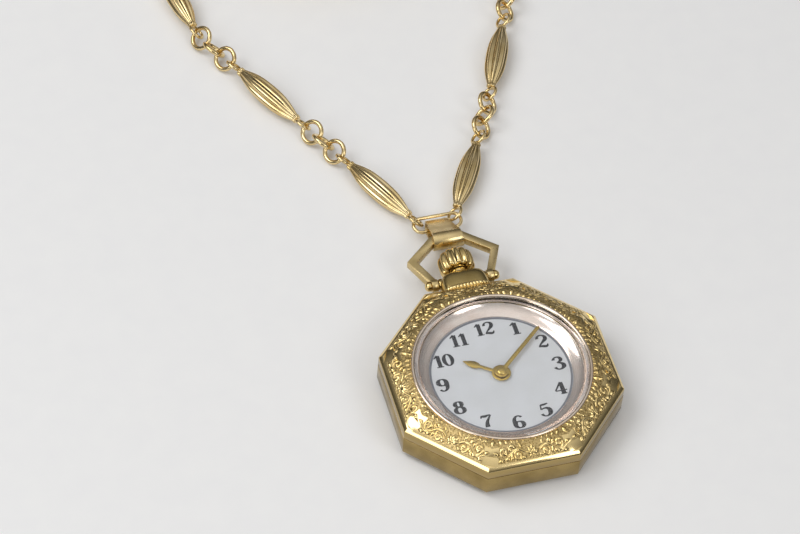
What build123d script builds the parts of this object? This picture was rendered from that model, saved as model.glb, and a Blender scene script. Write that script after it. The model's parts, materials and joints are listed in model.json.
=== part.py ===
from build123d import *

import os
from math import atan2, ceil, cos, degrees, dist, hypot, pi, radians, sin, sqrt, tan

# An octagonal pendant watch that lies on its back, dial up, 12 o'clock towards +Y.
# The origin is the middle of the flat case back, and +Z goes out through the dial.

OVERRUN = 0.5  # how far a cutting solid runs past what it cuts
FIT = 0.02  # radial clearance of a turning or sliding fit
SEAM = 0.05  # gap between pieces that are fitted to each other
LOOSE = 0.10  # gap beside a piece that moves

# Case
case_wall = 1.80  # between the snap fit and the middle of a flat side
back_height = 0.90
back_flats_inset = 0.20
back_slope_width = 3.00
back_edge_height = 0.30
back_wall = 0.45
back_lip_wall = 0.63
band_height = 2.65
bore_radius = 10.65
snap_wall = 1.55
snap_height = 1.10

# Bezel, crystal and reflector
bezel_band_height = 1.65
bezel_bevel = 0.38
bezel_rise = 1.10
bezel_rim_width = 0.75
corner_facet = 0.80
corner_facet_lean = 9.0
crystal_edge_height = 0.70
crystal_rise = 0.60
crystal_top_share = 0.78  # of its radius, where its flat top ends
crystal_seat_depth = 0.75
reflector_width = 1.40

# Dial and hands
dial_thickness = 0.35
dial_hole_radius = 0.82
dial_foot_radius = 0.35
dial_foot_length = 0.60
dial_foot_inset = 2.00
dial_foot_angles = (38.0, 212.0)
hand_thickness = 0.14
minute_hand_length = 8.70
minute_hand_width = 0.56
minute_hand_tip_width = 0.20
minute_hub_radius = 0.85
hour_hand_length = 5.00
hour_hand_neck_width = 0.42
hour_hand_leaf_width = 1.05
hour_hub_radius = 1.18
minutes_shown = 8.2
hours_shown = 10.0
center_arbor_radius = 0.30
cannon_tube_radius = 0.48
hour_tube_radius = 0.70

# Movement, by height above the case back's inner floor
bridge_room = 0.70  # between a bridge's edge and the back's lip
winding_wheel_clearance = 0.45
winding_wheel_thickness = 0.20
bridge_thickness = 0.55
train_space = 1.20
plate_thickness = 1.10
foot_width = 0.70
arbor_radius = 0.15
motion_recess_depth = 0.55
screw_radius = 0.22
screw_head_radius = 0.42
screw_grip = 0.50
screw_angles = (8.0, 66.0, 152.0, 196.0, 286.0)

# Gears: module, then teeth of the wheel and leaves of the pinion that it drives
barrel_module, barrel_teeth, center_leaves = 0.130, 60, 8
center_module, center_teeth, third_leaves = 0.110, 48, 6
third_module, third_teeth, fourth_leaves = 0.105, 45, 6
fourth_module, fourth_teeth, escape_leaves = 0.080, 60, 6
motion_module, cannon_leaves, minute_teeth, minute_leaves, hour_teeth = 0.110, 10, 30, 8, 32
winding_module, ratchet_teeth, crown_wheel_teeth, winding_leaves = 0.155, 36, 24, 12
mesh_share = 0.04  # of a module, added to each centre distance so that the teeth run free
wheel_thickness = 0.13
rim_share = 0.80  # of a wheel's root radius, where its rim starts
third_angle, fourth_angle, escape_angle = 155.0, 240.0, 262.0

# Barrel
barrel_height = 0.80
barrel_wall = 0.22
barrel_flange_height = 0.20
barrel_arbor_radius = 0.50
spring_thickness = 0.16
spring_turns = 3
spring_steps = 10  # straight lengths to a turn

# Escapement
escape_wheel_teeth = 15
escape_wheel_radius = 2.00
escape_tooth_depth = 0.45
escape_to_pallet = 2.40
pallet_to_balance = 3.30
lever_angle = -14.0
pallet_span_angle = 30.0
lever_width = 0.22
horn_gap = 0.24
impulse_circle = 0.50
impulse_radius = 0.07
roller_radius = 0.62
balance_radius = 3.25
balance_rim_width = 0.36
balance_rim_height = 0.26
balance_arm_width = 0.40
hairspring_outer_radius = 1.45
hairspring_thickness = 0.07
hairspring_turns = 4
hairspring_height = 0.12
pallet_cock_reach = 2.65
pallet_cock_angle = 242.0

# Winding work
crown_wheel_place = 4.90
crown_wheel_post_radius = 0.30
face_teeth_radius = 1.90
face_teeth_width = 0.30
face_teeth_height = 0.26
winding_pinion_length = 0.80
winding_pinion_radius = 1.04
sliding_pinion_length = 0.45
sliding_pinion_radius = 0.80
stem_radius = 0.42
stem_above_plate_bottom = 0.05
click_angle = 58.0
click_distance = 3.90
click_width = 0.55
click_reach_angle = 16.0

# Pendant neck, crown, bow and bail
neck_width = 6.30
neck_depth = 3.30
neck_length = 3.30
neck_flare = 0.35
neck_chamfer = 0.80
tube_radius = 1.15
tube_above_neck = 0.45
crown_radius = 2.38
crown_length = 3.00
crown_gap = 0.12
crown_flutes = 18
crown_flute_depth = 0.22
bow_pivot_rise = 2.45  # above the case's edge
bow_bar_width = 1.00
bow_bar_depth = 1.10
bow_eye_radius = 0.82
bow_eye_width = 0.80
bow_side_reach, bow_side_rise = 5.45, 3.10  # beside and above the neck's top
bow_top_reach, bow_top_rise = 1.90, 6.10
bow_screw_radius = 0.34
bow_screw_head_radius = 0.60
bow_screw_head_shares = ((0.92, 0.0), (1.0, 0.5), (0.80, 1.05), (0.42, 1.35))
bow_screw_depth = 1.40
bail_wall = 0.35
bail_bow_clearance = 0.85
bail_end_clearance = 0.50
bail_length = 4.10
bail_bow_width = 4.00
bail_end_width = 2.75

# Necklace
ring_radius, ring_wire = 1.40, 0.28
ring_steps, ring_sides = 10, 5
eye_radius, eye_wire = 0.97, 0.25
eye_steps, eye_sides = 8, 4
spindle_length = 13.60  # eye to eye
spindle_radius = 1.48
spindle_flutes = 8
spindle_flute_depth = 0.18
spindle_shares = ((-0.5, 0.40), (-0.34, 0.72), (-0.12, 1.0), (0.12, 1.0), (0.34, 0.72), (0.5, 0.40))
link_slack = 0.05
eye_play = 0.12  # from the pendant ring's wire to the middle of the eye round it
link_roll = 45.0
chain_height = 1.45
pendant_ring_length = 6.30
pendant_ring_wire = 0.26
pendant_ring_steps = 6  # straight lengths to each round end
pendant_ring_back = 1.30
pendant_ring_rise_angle = 40.0
left_headings = (117.4, 117.0, 117.5, 119.0)
right_headings = (60.5, 62.5, 65.5, 67.0)
chain_diameter = 2.90
coil_place = (0.0, 95.5)
coil_radius = 26.0
coil_pitch = 4.40  # between neighbouring turns of a layer
coil_layer_rise = 3.60
coil_turns = 2  # on each of its two layers
climb_room = 3.00  # extra width where the second layer passes over the climb
tail_side = 24.0
tail_gap = 0.30
coil_samples = 24  # points along each half turn, to measure the least gap

MIN_Z = (Align.CENTER, Align.CENTER, Align.MIN)
FLAT_TURN = 22.5  # turns an octagon so that it has flats at 12, 3, 6 and 9 o'clock
PIN_SIDES = 8  # a small pin or hole repeats too often to be a true cylinder
TUBE_SIDES = 12
DRUM_SIDES = 32


# Sizes in plan that follow the bore
dial_radius = plate_radius = bore_radius - SEAM
back_lip_inner = bore_radius - FIT - back_lip_wall
bridge_radius = back_lip_inner - bridge_room
reflector_inner_radius = bore_radius - SEAM - reflector_width
dial_foot_circle = dial_radius - dial_foot_inset
crystal_radius = bore_radius + SEAM
bezel_top_flats = 2 * (crystal_radius + SEAM + bezel_rim_width)
snap_radius = bore_radius + snap_wall
case_flats = 2 * (snap_radius + case_wall)
back_flat_flats = case_flats - 2 * back_slope_width
neck_top = case_flats / 2 + neck_length
bow_pivot = case_flats / 2 + bow_pivot_rise
bow_side = (bow_side_reach, neck_top + bow_side_rise)
bow_top = (bow_top_reach, neck_top + bow_top_rise)
bail_reach = bow_top[1] + bail_length

# Heights
band_low = back_height
band_high = band_low + band_height
bezel_low = band_high + SEAM
bezel_edge = bezel_low + bezel_band_height
bezel_high = bezel_edge + bezel_rise
back_floor = back_wall
winding_low = back_floor + winding_wheel_clearance
winding_high = winding_low + winding_wheel_thickness
bridge_low = winding_high + SEAM
bridge_high = bridge_low + bridge_thickness
plate_low = bridge_high + train_space
plate_high = plate_low + plate_thickness
dial_low = plate_high + SEAM
dial_high = dial_low + dial_thickness
stem_height = plate_low + stem_above_plate_bottom
center_wheel_low = bridge_high + LOOSE
barrel_low = center_wheel_low + wheel_thickness + LOOSE
barrel_high = barrel_low + barrel_height
flange_high = barrel_low + barrel_flange_height
fourth_wheel_low = flange_high
pallet_high = plate_low - 0.8 * LOOSE
pallet_low = pallet_high - wheel_thickness
third_wheel_low = pallet_low - LOOSE
rim_low = barrel_low + 2 * LOOSE
rim_high = rim_low + balance_rim_height
spring_low = rim_low - hairspring_height - LOOSE / 2
motion_low = plate_high - motion_recess_depth
hour_wheel_low = motion_low + 3.5 * LOOSE
hour_hand_low = dial_high + 2 * LOOSE
minute_hand_low = hour_hand_low + hand_thickness + 1.5 * LOOSE


def polar(radius, angle, middle=(0.0, 0.0)):
    return (middle[0] + radius * cos(radians(angle)), middle[1] + radius * sin(radians(angle)))


def centre_distance(module, teeth, leaves):
    return module * ((teeth + leaves) / 2 + mesh_share)


# Places of the arbors in plan
center_at = (0.0, 0.0)
crown_wheel_at = (0.0, crown_wheel_place)
barrel_reach = centre_distance(barrel_module, barrel_teeth, center_leaves)
ratchet_reach = centre_distance(winding_module, ratchet_teeth, crown_wheel_teeth)
barrel_y = (barrel_reach**2 + crown_wheel_place**2 - ratchet_reach**2) / (2 * crown_wheel_place)
barrel_at = (sqrt(barrel_reach**2 - barrel_y**2), barrel_y)
third_at = polar(centre_distance(center_module, center_teeth, third_leaves), third_angle)
fourth_at = polar(centre_distance(third_module, third_teeth, fourth_leaves), fourth_angle, third_at)
escape_at = polar(centre_distance(fourth_module, fourth_teeth, escape_leaves), escape_angle, fourth_at)
pallet_at = polar(escape_to_pallet, lever_angle, escape_at)
balance_at = polar(pallet_to_balance, lever_angle, pallet_at)
minute_wheel_at = (0.0, centre_distance(motion_module, cannon_leaves, minute_teeth))
stud_at = polar(hairspring_outer_radius, 180, balance_at)
click_at = polar(click_distance, click_angle, barrel_at)
pinion_y = crown_wheel_place + face_teeth_radius
stem_inner_end = crown_wheel_place + crown_wheel_post_radius + SEAM
screw_circle = bridge_radius - foot_width / 2


def disc(radius, low, high, at=(0.0, 0.0)):
    return Pos(at[0], at[1], low) * Cylinder(radius, high - low, align=MIN_Z)


def hole(radius, low, high, at=(0.0, 0.0)):
    return disc(radius, low - OVERRUN, high + OVERRUN, at)


def washer(outer, inner, low, high, at=(0.0, 0.0)):
    return disc(outer, low, high, at) - hole(inner, low, high, at)


def pin(radius, low, high, at=(0.0, 0.0), sides=PIN_SIDES):
    """A small round pin, as a prism with its corners on the radius."""
    return Pos(at[0], at[1], low) * extrude(RegularPolygon(radius, sides), amount=high - low)


def pin_hole(radius, low, high, at=(0.0, 0.0), sides=PIN_SIDES):
    """A hole with its flats on the radius, so that a pin of that radius can turn in it."""
    return Pos(at[0], at[1], low) * extrude(RegularPolygon(radius, sides, major_radius=False), amount=high - low)


def pierced(radius, low, high, at=(0.0, 0.0)):
    return pin_hole(radius, low - OVERRUN, high + OVERRUN, at)


def flat_face(points):
    return Face(Wire.make_polygon([Vector(*point) for point in points], close=True))


def faceted(outlines, closed=False):
    """A solid of flat faces through outlines that all have the same number of points."""
    following = outlines[1:] + ([outlines[0]] if closed else [])
    faces = [] if closed else [flat_face(outlines[0]), flat_face(outlines[-1])]
    for near, far in zip(outlines, following):
        count = len(near)
        faces += [flat_face((near[i], near[(i + 1) % count], far[(i + 1) % count], far[i])) for i in range(count)]
    return Solid(Shell(faces))


def faceted_loop(places, wire, sides):
    """A closed loop of wire in the XY plane, through places given as (centre, angle outwards)."""
    outlines = []
    for centre, outwards in places:
        turns = [2 * pi * (i + 0.5) / sides for i in range(sides)]
        outlines.append([(*polar(wire * cos(turn), outwards, centre), wire * sin(turn)) for turn in turns])
    return faceted(outlines, closed=True)


def prism(points, low, high):
    return Pos(0, 0, low) * extrude(make_face(Polyline(*points, close=True)), amount=high - low)


def octagon(flats, low, high):
    face = RegularPolygon(flats / 2, 8, major_radius=False, rotation=FLAT_TURN)
    return Pos(0, 0, low) * extrude(face, amount=high - low)


def bar(start, end, width, low, high):
    length = dist(start, end)
    middle = ((start[0] + end[0]) / 2, (start[1] + end[1]) / 2)
    turn = degrees(atan2(end[1] - start[1], end[0] - start[0]))
    return Pos(middle[0], middle[1], low) * Rot(0, 0, turn) * Box(length, width, high - low, align=MIN_Z)


def star(count, tip, root, phase=0.0):
    """The points of a wheel's outline: a tip at phase degrees, and a root half a pitch further on."""
    half = 180 / count
    return [polar(tip if i % 2 == 0 else root, phase + half * i) for i in range(2 * count)]


def moved_to(points, at):
    return [(x + at[0], y + at[1]) for x, y in points]


def gear(teeth, module, low, high, at, phase):
    """Pointed teeth, as a watch wheel's rounded ones look at this size, with a tip at phase degrees."""
    pitch = module * teeth / 2
    return prism(moved_to(star(teeth, pitch + 0.85 * module, pitch - 1.2 * module, phase), at), low, high)


def wheel(teeth, module, low, at, phase, spokes=4):
    """A thin gear with windows between its spokes."""
    high = low + wheel_thickness
    body = gear(teeth, module, low, high, at, phase)
    rim = rim_share * module * (teeth / 2 - 1.2)
    hub = 0.32 * rim
    for i in range(spokes):
        middle = phase + 360 / spokes * (i + 0.5)
        half = 180 / spokes
        window = [polar(hub, middle - 0.55 * half, at), polar(rim, middle - 0.78 * half, at),
                  polar(rim / cos(radians(half)) * 0.86, middle, at),
                  polar(rim, middle + 0.78 * half, at), polar(hub, middle + 0.55 * half, at)]
        body -= prism(window, low - OVERRUN, high + OVERRUN)
    return body


def meshing_phase(angle, teeth):
    """The phase that puts a gap of the second wheel at the first wheel's tooth, seen along angle."""
    return angle + 180 + 180 / teeth


def direction(start, end):
    return degrees(atan2(end[1] - start[1], end[0] - start[0]))


# Case

def case_middle():
    body = octagon(case_flats, band_low, band_high)
    body += disc(snap_radius, band_high - SEAM, band_high + snap_height)
    body += neck()
    body -= hole(bore_radius, band_low, band_high + snap_height)
    body -= pin_hole_y(stem_radius + LOOSE, bore_radius - OVERRUN, neck_top)
    body -= pin_hole_y(tube_radius + FIT / 2, case_flats / 2 + LOOSE - SEAM, neck_top + OVERRUN, TUBE_SIDES)
    for side in (-1, 1):
        shank = pin_hole(bow_screw_radius + FIT, -bow_screw_depth, bow_screw_depth)
        body -= Pos(side * neck_width / 2, bow_pivot, stem_height) * Rot(0, 90, 0) * shank
    return body


def neck():
    """The pendant: it grows out of the band at 12 o'clock and clears the bezel above it."""
    root = case_flats / 2 - 2 * OVERRUN
    outlines = []
    for y, spread in ((root, neck_flare), (neck_top - 2 * neck_flare, 0.0), (neck_top, -neck_flare)):
        half_width = neck_width / 2 + min(spread, 0) + max(spread, 0) / 2
        half_depth = neck_depth / 2 + min(spread, 0)
        corners = [(half_width, half_depth - neck_chamfer), (half_width - neck_chamfer, half_depth)]
        quarter = [*corners, *((-x, z) for x, z in reversed(corners))]
        outline = [*quarter, *((-x, -z) for x, z in quarter)]
        outlines.append([(x, y, stem_height + z) for x, z in outline])
    return faceted(outlines) - octagon(case_flats + 2 * SEAM, band_high, bezel_high)


def bezel():
    edge_flats = case_flats - 2 * bezel_bevel
    body = octagon(case_flats, bezel_low, bezel_edge - bezel_bevel)
    body += octagon_frustum(case_flats, edge_flats, bezel_edge - bezel_bevel, bezel_edge)
    body += octagon_frustum(edge_flats, bezel_top_flats, bezel_edge, bezel_high)
    # a plain bright facet at each corner
    corner = case_flats / 2 / cos(radians(FLAT_TURN))
    tilt = degrees(atan2(bezel_rise, corner - bezel_top_flats / 2)) + corner_facet_lean
    for i in range(8):
        cut = Box(2 * corner_facet, case_flats / 2, bezel_rise, align=(Align.MIN, Align.CENTER, Align.MIN))
        place = Rot(0, 0, FLAT_TURN + 45 * i) * Pos(corner - corner_facet, 0, bezel_edge)
        body -= place * Rot(0, tilt - 90, 0) * cut
    body -= hole(crystal_radius + SEAM, bezel_low, bezel_high)
    body -= disc(snap_radius + SEAM, bezel_low - OVERRUN, band_high + snap_height + SEAM)
    return body


def octagon_frustum(low_flats, high_flats, low, high):
    scale = 2 * cos(radians(FLAT_TURN))
    return faceted([[(*polar(flats / scale, FLAT_TURN + 45 * i), z) for i in range(8)]
                    for flats, z in ((low_flats, low), (high_flats, high))])


def crystal():
    """A disc with a low flat top. It stands on the reflector ring, inside the bezel."""
    low = bezel_high - crystal_seat_depth + SEAM / 2
    edge = low + crystal_edge_height
    top_radius = crystal_radius * crystal_top_share
    points = [(0, low), (crystal_radius, low), (crystal_radius, edge), (top_radius, edge + crystal_rise),
              (0, edge + crystal_rise)]
    return revolve(Plane.XZ * make_face(Polyline(*points, close=True)), Axis.Z)


def rehaut_ring():
    """The bright sloped ring between the dial and the crystal."""
    outer = bore_radius - SEAM
    low, high = dial_high + SEAM / 2, bezel_high - crystal_seat_depth
    points = [(reflector_inner_radius, low), (outer, low), (outer, high)]
    return revolve(Plane.XZ * make_face(Polyline(*points, close=True)), Axis.Z)


def case_back():
    """A flat middle, a slope out to the octagon's edge, and a high lip that carries the movement."""
    flats = case_flats - 2 * back_flats_inset
    slope_high = back_height - SEAM / 2 - back_edge_height
    body = octagon_frustum(back_flat_flats, flats, 0, slope_high) + octagon(flats, slope_high, back_height - SEAM / 2)
    outer = bore_radius - FIT
    body += washer(outer, back_lip_inner, back_height - SEAM, plate_low - SEAM)
    body -= disc(back_lip_inner, back_floor, back_height + OVERRUN)
    return body - stem_cut(outer)


def stem_cut(reach):
    """A passage for the stem, from the middle out."""
    return pin_hole_y(stem_radius + LOOSE, pinion_y, reach + OVERRUN)


# Dial and hands

def dial():
    body = disc(dial_radius, dial_low, dial_high) - pierced(dial_hole_radius, dial_low, dial_high)
    for angle in dial_foot_angles:
        body += pin(dial_foot_radius, dial_low - dial_foot_length, dial_low + SEAM, polar(dial_foot_circle, angle))
    return body


def minute_hand():
    width, tip = minute_hand_width / 2, minute_hand_tip_width / 2
    blade = [(-width, 0), (width, 0), (tip, minute_hand_length * 0.97), (0, minute_hand_length),
             (-tip, minute_hand_length * 0.97)]
    low, high = minute_hand_low, minute_hand_low + hand_thickness
    body = prism(blade, low, high) + disc(minute_hub_radius, low, high)
    body -= pierced(cannon_tube_radius + FIT / 2, low, high)
    return Rot(0, 0, -6 * minutes_shown) * body


def hour_hand():
    neck, leaf, length = hour_hand_neck_width / 2, hour_hand_leaf_width / 2, hour_hand_length
    blade = [(-neck, 0), (neck, 0), (neck, length * 0.55), (leaf * 0.8, length * 0.62), (leaf, length * 0.72),
             (leaf * 0.7, length * 0.84), (0, length), (-leaf * 0.7, length * 0.84), (-leaf, length * 0.72),
             (-leaf * 0.8, length * 0.62), (-neck, length * 0.55)]
    low, high = hour_hand_low, hour_hand_low + hand_thickness
    body = prism(blade, low, high) + disc(hour_hub_radius, low, high)
    body -= pierced(hour_tube_radius + FIT / 2, low, high)
    return Rot(0, 0, -30 * (hours_shown + minutes_shown / 60)) * body


# Motion work, on the dial side of the plate

def cannon_pinion():
    top = minute_hand_low + hand_thickness + LOOSE
    low = motion_low + SEAM
    body = gear(cannon_leaves, motion_module, low, low + 0.4 * motion_recess_depth, center_at, 90)
    body += pin(cannon_tube_radius, low, top)
    return body - pin_hole(center_arbor_radius + FIT, low - OVERRUN, top - LOOSE)


def minute_wheel():
    low = motion_low + SEAM
    body = wheel(minute_teeth, motion_module, low, minute_wheel_at, meshing_phase(90, minute_teeth))
    pinion_high = hour_wheel_low + wheel_thickness
    body += gear(minute_leaves, motion_module, low, pinion_high, minute_wheel_at, -90)
    return body - pierced(arbor_radius + FIT, low, pinion_high, minute_wheel_at)


def hour_wheel():
    low = hour_wheel_low
    body = wheel(hour_teeth, motion_module, low, center_at, meshing_phase(-90, hour_teeth))
    body += pin(hour_tube_radius, low, hour_hand_low + hand_thickness)
    return body - pierced(cannon_tube_radius + FIT, low, hour_hand_low + hand_thickness)


# Plate and bridges

def main_plate():
    body = disc(plate_radius, plate_low, plate_high)
    recess = motion_module * hour_teeth / 2 + 2 * LOOSE
    body -= disc(recess, motion_low, plate_high + OVERRUN)
    body -= disc(motion_module * minute_teeth / 2 + 2 * LOOSE, motion_low, plate_high + OVERRUN, minute_wheel_at)
    body += pin(arbor_radius, motion_low - SEAM, hour_wheel_low + wheel_thickness, minute_wheel_at)
    body += pin(crown_wheel_post_radius, winding_low - SEAM, plate_low + SEAM, crown_wheel_at)
    slot_low, slot_high = stem_inner_end - LOOSE, pinion_y + winding_pinion_length / 2 + LOOSE
    slot = Box(2 * (winding_pinion_radius + LOOSE), slot_high - slot_low, plate_thickness + 2 * OVERRUN, align=MIN_Z)
    body -= Pos(0, (slot_low + slot_high) / 2, plate_low - OVERRUN) * slot
    body -= stem_cut(plate_radius)
    for at in (third_at, fourth_at, escape_at, pallet_at, balance_at):
        body -= pin_hole(arbor_radius + FIT, plate_low - OVERRUN, plate_low + plate_thickness / 2, at)
    body -= pierced(center_arbor_radius + FIT, plate_low, plate_high)
    body -= pin_hole(barrel_arbor_radius + FIT, plate_low - OVERRUN, plate_low + plate_thickness / 2, barrel_at)
    for angle in dial_foot_angles:
        body -= pin_hole(dial_foot_radius + FIT, dial_low - dial_foot_length - SEAM, dial_low,
                         polar(dial_foot_circle, angle))
    for angle in screw_angles:
        body -= pin_hole(screw_radius + FIT, plate_low - OVERRUN, plate_low + screw_grip + LOOSE,
                         polar(screw_circle, angle))
    return body


def bridge(shares):
    """A bridge cut to an outline given as shares of its radius, with a foot round its edge that stands on the plate."""
    outline = [(x * bridge_radius, y * bridge_radius) for x, y in shares]
    plan = prism(outline, bridge_low - OVERRUN, plate_low + OVERRUN)
    body = disc(bridge_radius, bridge_low, bridge_high)
    body += washer(bridge_radius, bridge_radius - foot_width, bridge_high - SEAM, plate_low)
    return body & plan


def screwed(body, angles):
    for angle in angles:
        body -= pierced(screw_radius + FIT, bridge_low, plate_low, polar(screw_circle, angle))
    return body


def barrel_bridge():
    shares = [(-0.30, 1.1), (-0.30, 0.28), (-0.16, 0.25), (-0.16, -0.14), (0.25, -0.20), (1.1, -0.20), (1.1, 1.1)]
    body = bridge(shares)
    body -= hole(face_teeth_radius + face_teeth_width / 2 + LOOSE, bridge_low, bridge_high, crown_wheel_at)
    slot = 2 * (winding_pinion_radius + LOOSE)
    room = Box(slot, bridge_radius, train_space * 2, align=(Align.CENTER, Align.MIN, Align.MIN))
    body -= Pos(0, pinion_y, bridge_high) * room
    body -= pierced(barrel_arbor_radius + FIT, bridge_low, bridge_high, barrel_at)
    body -= pierced(center_arbor_radius + FIT, bridge_low, bridge_high)
    body += pin(arbor_radius, winding_low, bridge_low + SEAM, click_at)
    return screwed(body, screw_angles[:2])


def train_bridge():
    shares = [(-1.1, 1.1), (-0.32, 1.1), (-0.32, 0.27), (-0.18, 0.24), (-0.18, -0.15), (-0.36, -0.33),
              (-0.36, -0.56), (-1.1, -0.56)]
    body = bridge(shares)
    for at in (third_at, fourth_at, escape_at):
        body -= pierced(arbor_radius + FIT, bridge_low, bridge_high, at)
    return screwed(body, screw_angles[2:4])


def balance_cock():
    foot = polar(screw_circle, screw_angles[4])
    body = bar(balance_at, foot, 3 * foot_width, bridge_low, bridge_high)
    body += disc(hairspring_outer_radius + 2 * arbor_radius, bridge_low, bridge_high, balance_at)
    body += bar(foot, polar(screw_circle - foot_width / 2, screw_angles[4]), 3 * foot_width, bridge_low, plate_low)
    body += pin(foot_width / 2, bridge_low, plate_low, foot)
    body &= disc(bridge_radius, bridge_low, plate_low)
    body -= disc(balance_radius + LOOSE, bridge_high, plate_low + OVERRUN, balance_at)
    body += bar(stud_at, polar(arbor_radius, direction(balance_at, stud_at), stud_at), 2 * arbor_radius,
                bridge_high - SEAM, spring_low + hairspring_height)
    body -= pierced(arbor_radius + FIT, bridge_low, bridge_high, balance_at)
    return screwed(body, screw_angles[4:])


def pallet_cock():
    foot = polar(pallet_cock_reach, pallet_cock_angle, pallet_at)
    body = bar(pallet_at, foot, foot_width, bridge_low, bridge_high)
    body += pin(foot_width / 2, bridge_low, bridge_high, pallet_at)
    body += pin(foot_width / 2, bridge_low, plate_low, foot)
    return body - pierced(arbor_radius + FIT, bridge_low, bridge_high, pallet_at)


def bridge_screws():
    screws = []
    for angle in screw_angles:
        at = polar(screw_circle, angle)
        screw = pin(screw_head_radius, winding_low, bridge_low, at)
        screw += pin(screw_radius, bridge_low - SEAM, plate_low + screw_grip, at)
        screws.append(screw)
    return Compound(children=screws)


# Going train

def arbor(at, radius=arbor_radius, low=None, high=None):
    return pin(radius, bridge_low + SEAM if low is None else low,
               plate_low + plate_thickness / 2 - SEAM if high is None else high, at)


def mainspring_barrel():
    radius = barrel_module * (barrel_teeth / 2 - 1.2)
    inner = radius - barrel_wall
    body = gear(barrel_teeth, barrel_module, barrel_low, flange_high, barrel_at,
                meshing_phase(direction(center_at, barrel_at), barrel_teeth))
    body += pin(radius, barrel_low, barrel_high, barrel_at, DRUM_SIDES)
    body -= pin(inner, barrel_low + barrel_wall / 2, barrel_high - barrel_wall / 2, barrel_at, DRUM_SIDES)
    return body - pierced(barrel_arbor_radius + FIT, barrel_low, barrel_high, barrel_at)


def spiral(at, inner, outer, turns, thickness, low, height, start=0.0):
    """A flat strip wound round a place, as one unbroken band of straight lengths."""
    count = turns * spring_steps
    edges = []
    for side in (1, -1):
        reach = [inner + (outer - inner) * i / count + side * thickness / 2 for i in range(count + 1)]
        edges.append([polar(r, start + 360 * i / spring_steps, at) for i, r in enumerate(reach)])
    return prism(edges[0] + edges[1][::-1], low, low + height)


def mainspring():
    radius = barrel_module * (barrel_teeth / 2 - 1.2) - barrel_wall
    low, high = barrel_low + barrel_wall / 2 + SEAM, barrel_high - barrel_wall / 2 - SEAM
    outer = radius - spring_thickness - SEAM
    inner = barrel_arbor_radius + spring_thickness + 2 * SEAM
    return spiral(barrel_at, inner, outer, spring_turns, spring_thickness, low, high - low)


def barrel_arbor():
    body = arbor(barrel_at, barrel_arbor_radius, bridge_low + SEAM / 2)
    square = Box(barrel_arbor_radius * 1.3, barrel_arbor_radius * 1.3, bridge_low + SEAM - winding_low, align=MIN_Z)
    return body + Pos(barrel_at[0], barrel_at[1], winding_low) * square


def ratchet_wheel():
    body = gear(ratchet_teeth, winding_module, winding_low, winding_high, barrel_at,
                direction(barrel_at, crown_wheel_at))
    hole_side = barrel_arbor_radius * 1.3 + 2 * FIT
    square = Box(hole_side, hole_side, winding_wheel_thickness + 2 * OVERRUN, align=MIN_Z)
    return body - Pos(barrel_at[0], barrel_at[1], winding_low - OVERRUN) * square


def center_wheel():
    body = wheel(center_teeth, center_module, center_wheel_low, center_at, third_angle)
    body += gear(center_leaves, barrel_module, center_wheel_low, flange_high + LOOSE, center_at,
                 direction(center_at, barrel_at))
    return body + arbor(center_at, center_arbor_radius, high=minute_hand_low + hand_thickness - SEAM)


def third_wheel():
    body = wheel(third_teeth, third_module, third_wheel_low, third_at, fourth_angle)
    body += gear(third_leaves, center_module, center_wheel_low - SEAM, center_wheel_low + wheel_thickness + SEAM,
                 third_at, meshing_phase(third_angle, third_leaves))
    return body + arbor(third_at)


def fourth_wheel():
    body = wheel(fourth_teeth, fourth_module, fourth_wheel_low, fourth_at, escape_angle)
    body += gear(fourth_leaves, third_module, third_wheel_low - SEAM, third_wheel_low + wheel_thickness + SEAM,
                 fourth_at, meshing_phase(fourth_angle, fourth_leaves))
    return body + arbor(fourth_at)


def escape_wheel():
    points = []
    for i in range(escape_wheel_teeth):
        start = lever_angle + 360 / escape_wheel_teeth * (i + 0.5)
        points += [polar(escape_wheel_radius, start), polar(escape_wheel_radius, start + 3),
                   polar(escape_wheel_radius - escape_tooth_depth, start + 8)]
    body = prism(moved_to(points, escape_at), pallet_low, pallet_high)
    window = pin(escape_wheel_radius * 0.66, pallet_low - OVERRUN, pallet_high + OVERRUN, escape_at, TUBE_SIDES)
    body -= window - pin(escape_wheel_radius * 0.3, pallet_low - OVERRUN, pallet_high + OVERRUN, escape_at)
    for turn in (0, 90):
        tip = polar(escape_wheel_radius * 0.7, turn, escape_at)
        tail = polar(escape_wheel_radius * 0.7, turn + 180, escape_at)
        body += bar(tail, tip, lever_width, pallet_low, pallet_high)
    body += gear(escape_leaves, fourth_module, fourth_wheel_low - SEAM, fourth_wheel_low + wheel_thickness + SEAM,
                 escape_at, meshing_phase(escape_angle, escape_leaves))
    return body + arbor(escape_at)


# Escapement

def pallet_fork():
    """The anchor, its two pallets against the escape wheel, the lever, and the two horns round the impulse pin."""
    low, high = pallet_low, pallet_high
    body = pin(lever_width, low, high, pallet_at)
    reach = escape_wheel_radius + LOOSE / 2
    for side in (-1, 1):
        stone = polar(reach + lever_width / 2, lever_angle + side * pallet_span_angle, escape_at)
        body += bar(pallet_at, stone, lever_width, low, high)
        body += bar(stone, polar(lever_width, lever_angle + side * pallet_span_angle, stone), lever_width, low, high)
    fork_end = pallet_to_balance - impulse_circle
    body += bar(pallet_at, polar(fork_end - horn_gap, lever_angle, pallet_at), lever_width, low, high)
    starts = []
    for side in (-1, 1):
        offset = side * (horn_gap + lever_width / 2) / 2
        start = polar(offset, lever_angle + 90, polar(fork_end - 1.6 * horn_gap, lever_angle, pallet_at))
        end = polar(offset, lever_angle + 90, polar(fork_end + impulse_radius, lever_angle, pallet_at))
        body += bar(start, end, lever_width / 2, low, high)
        starts.append(start)
    body += bar(starts[0], starts[1], lever_width / 2, low, high)
    return body + arbor(pallet_at)


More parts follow.
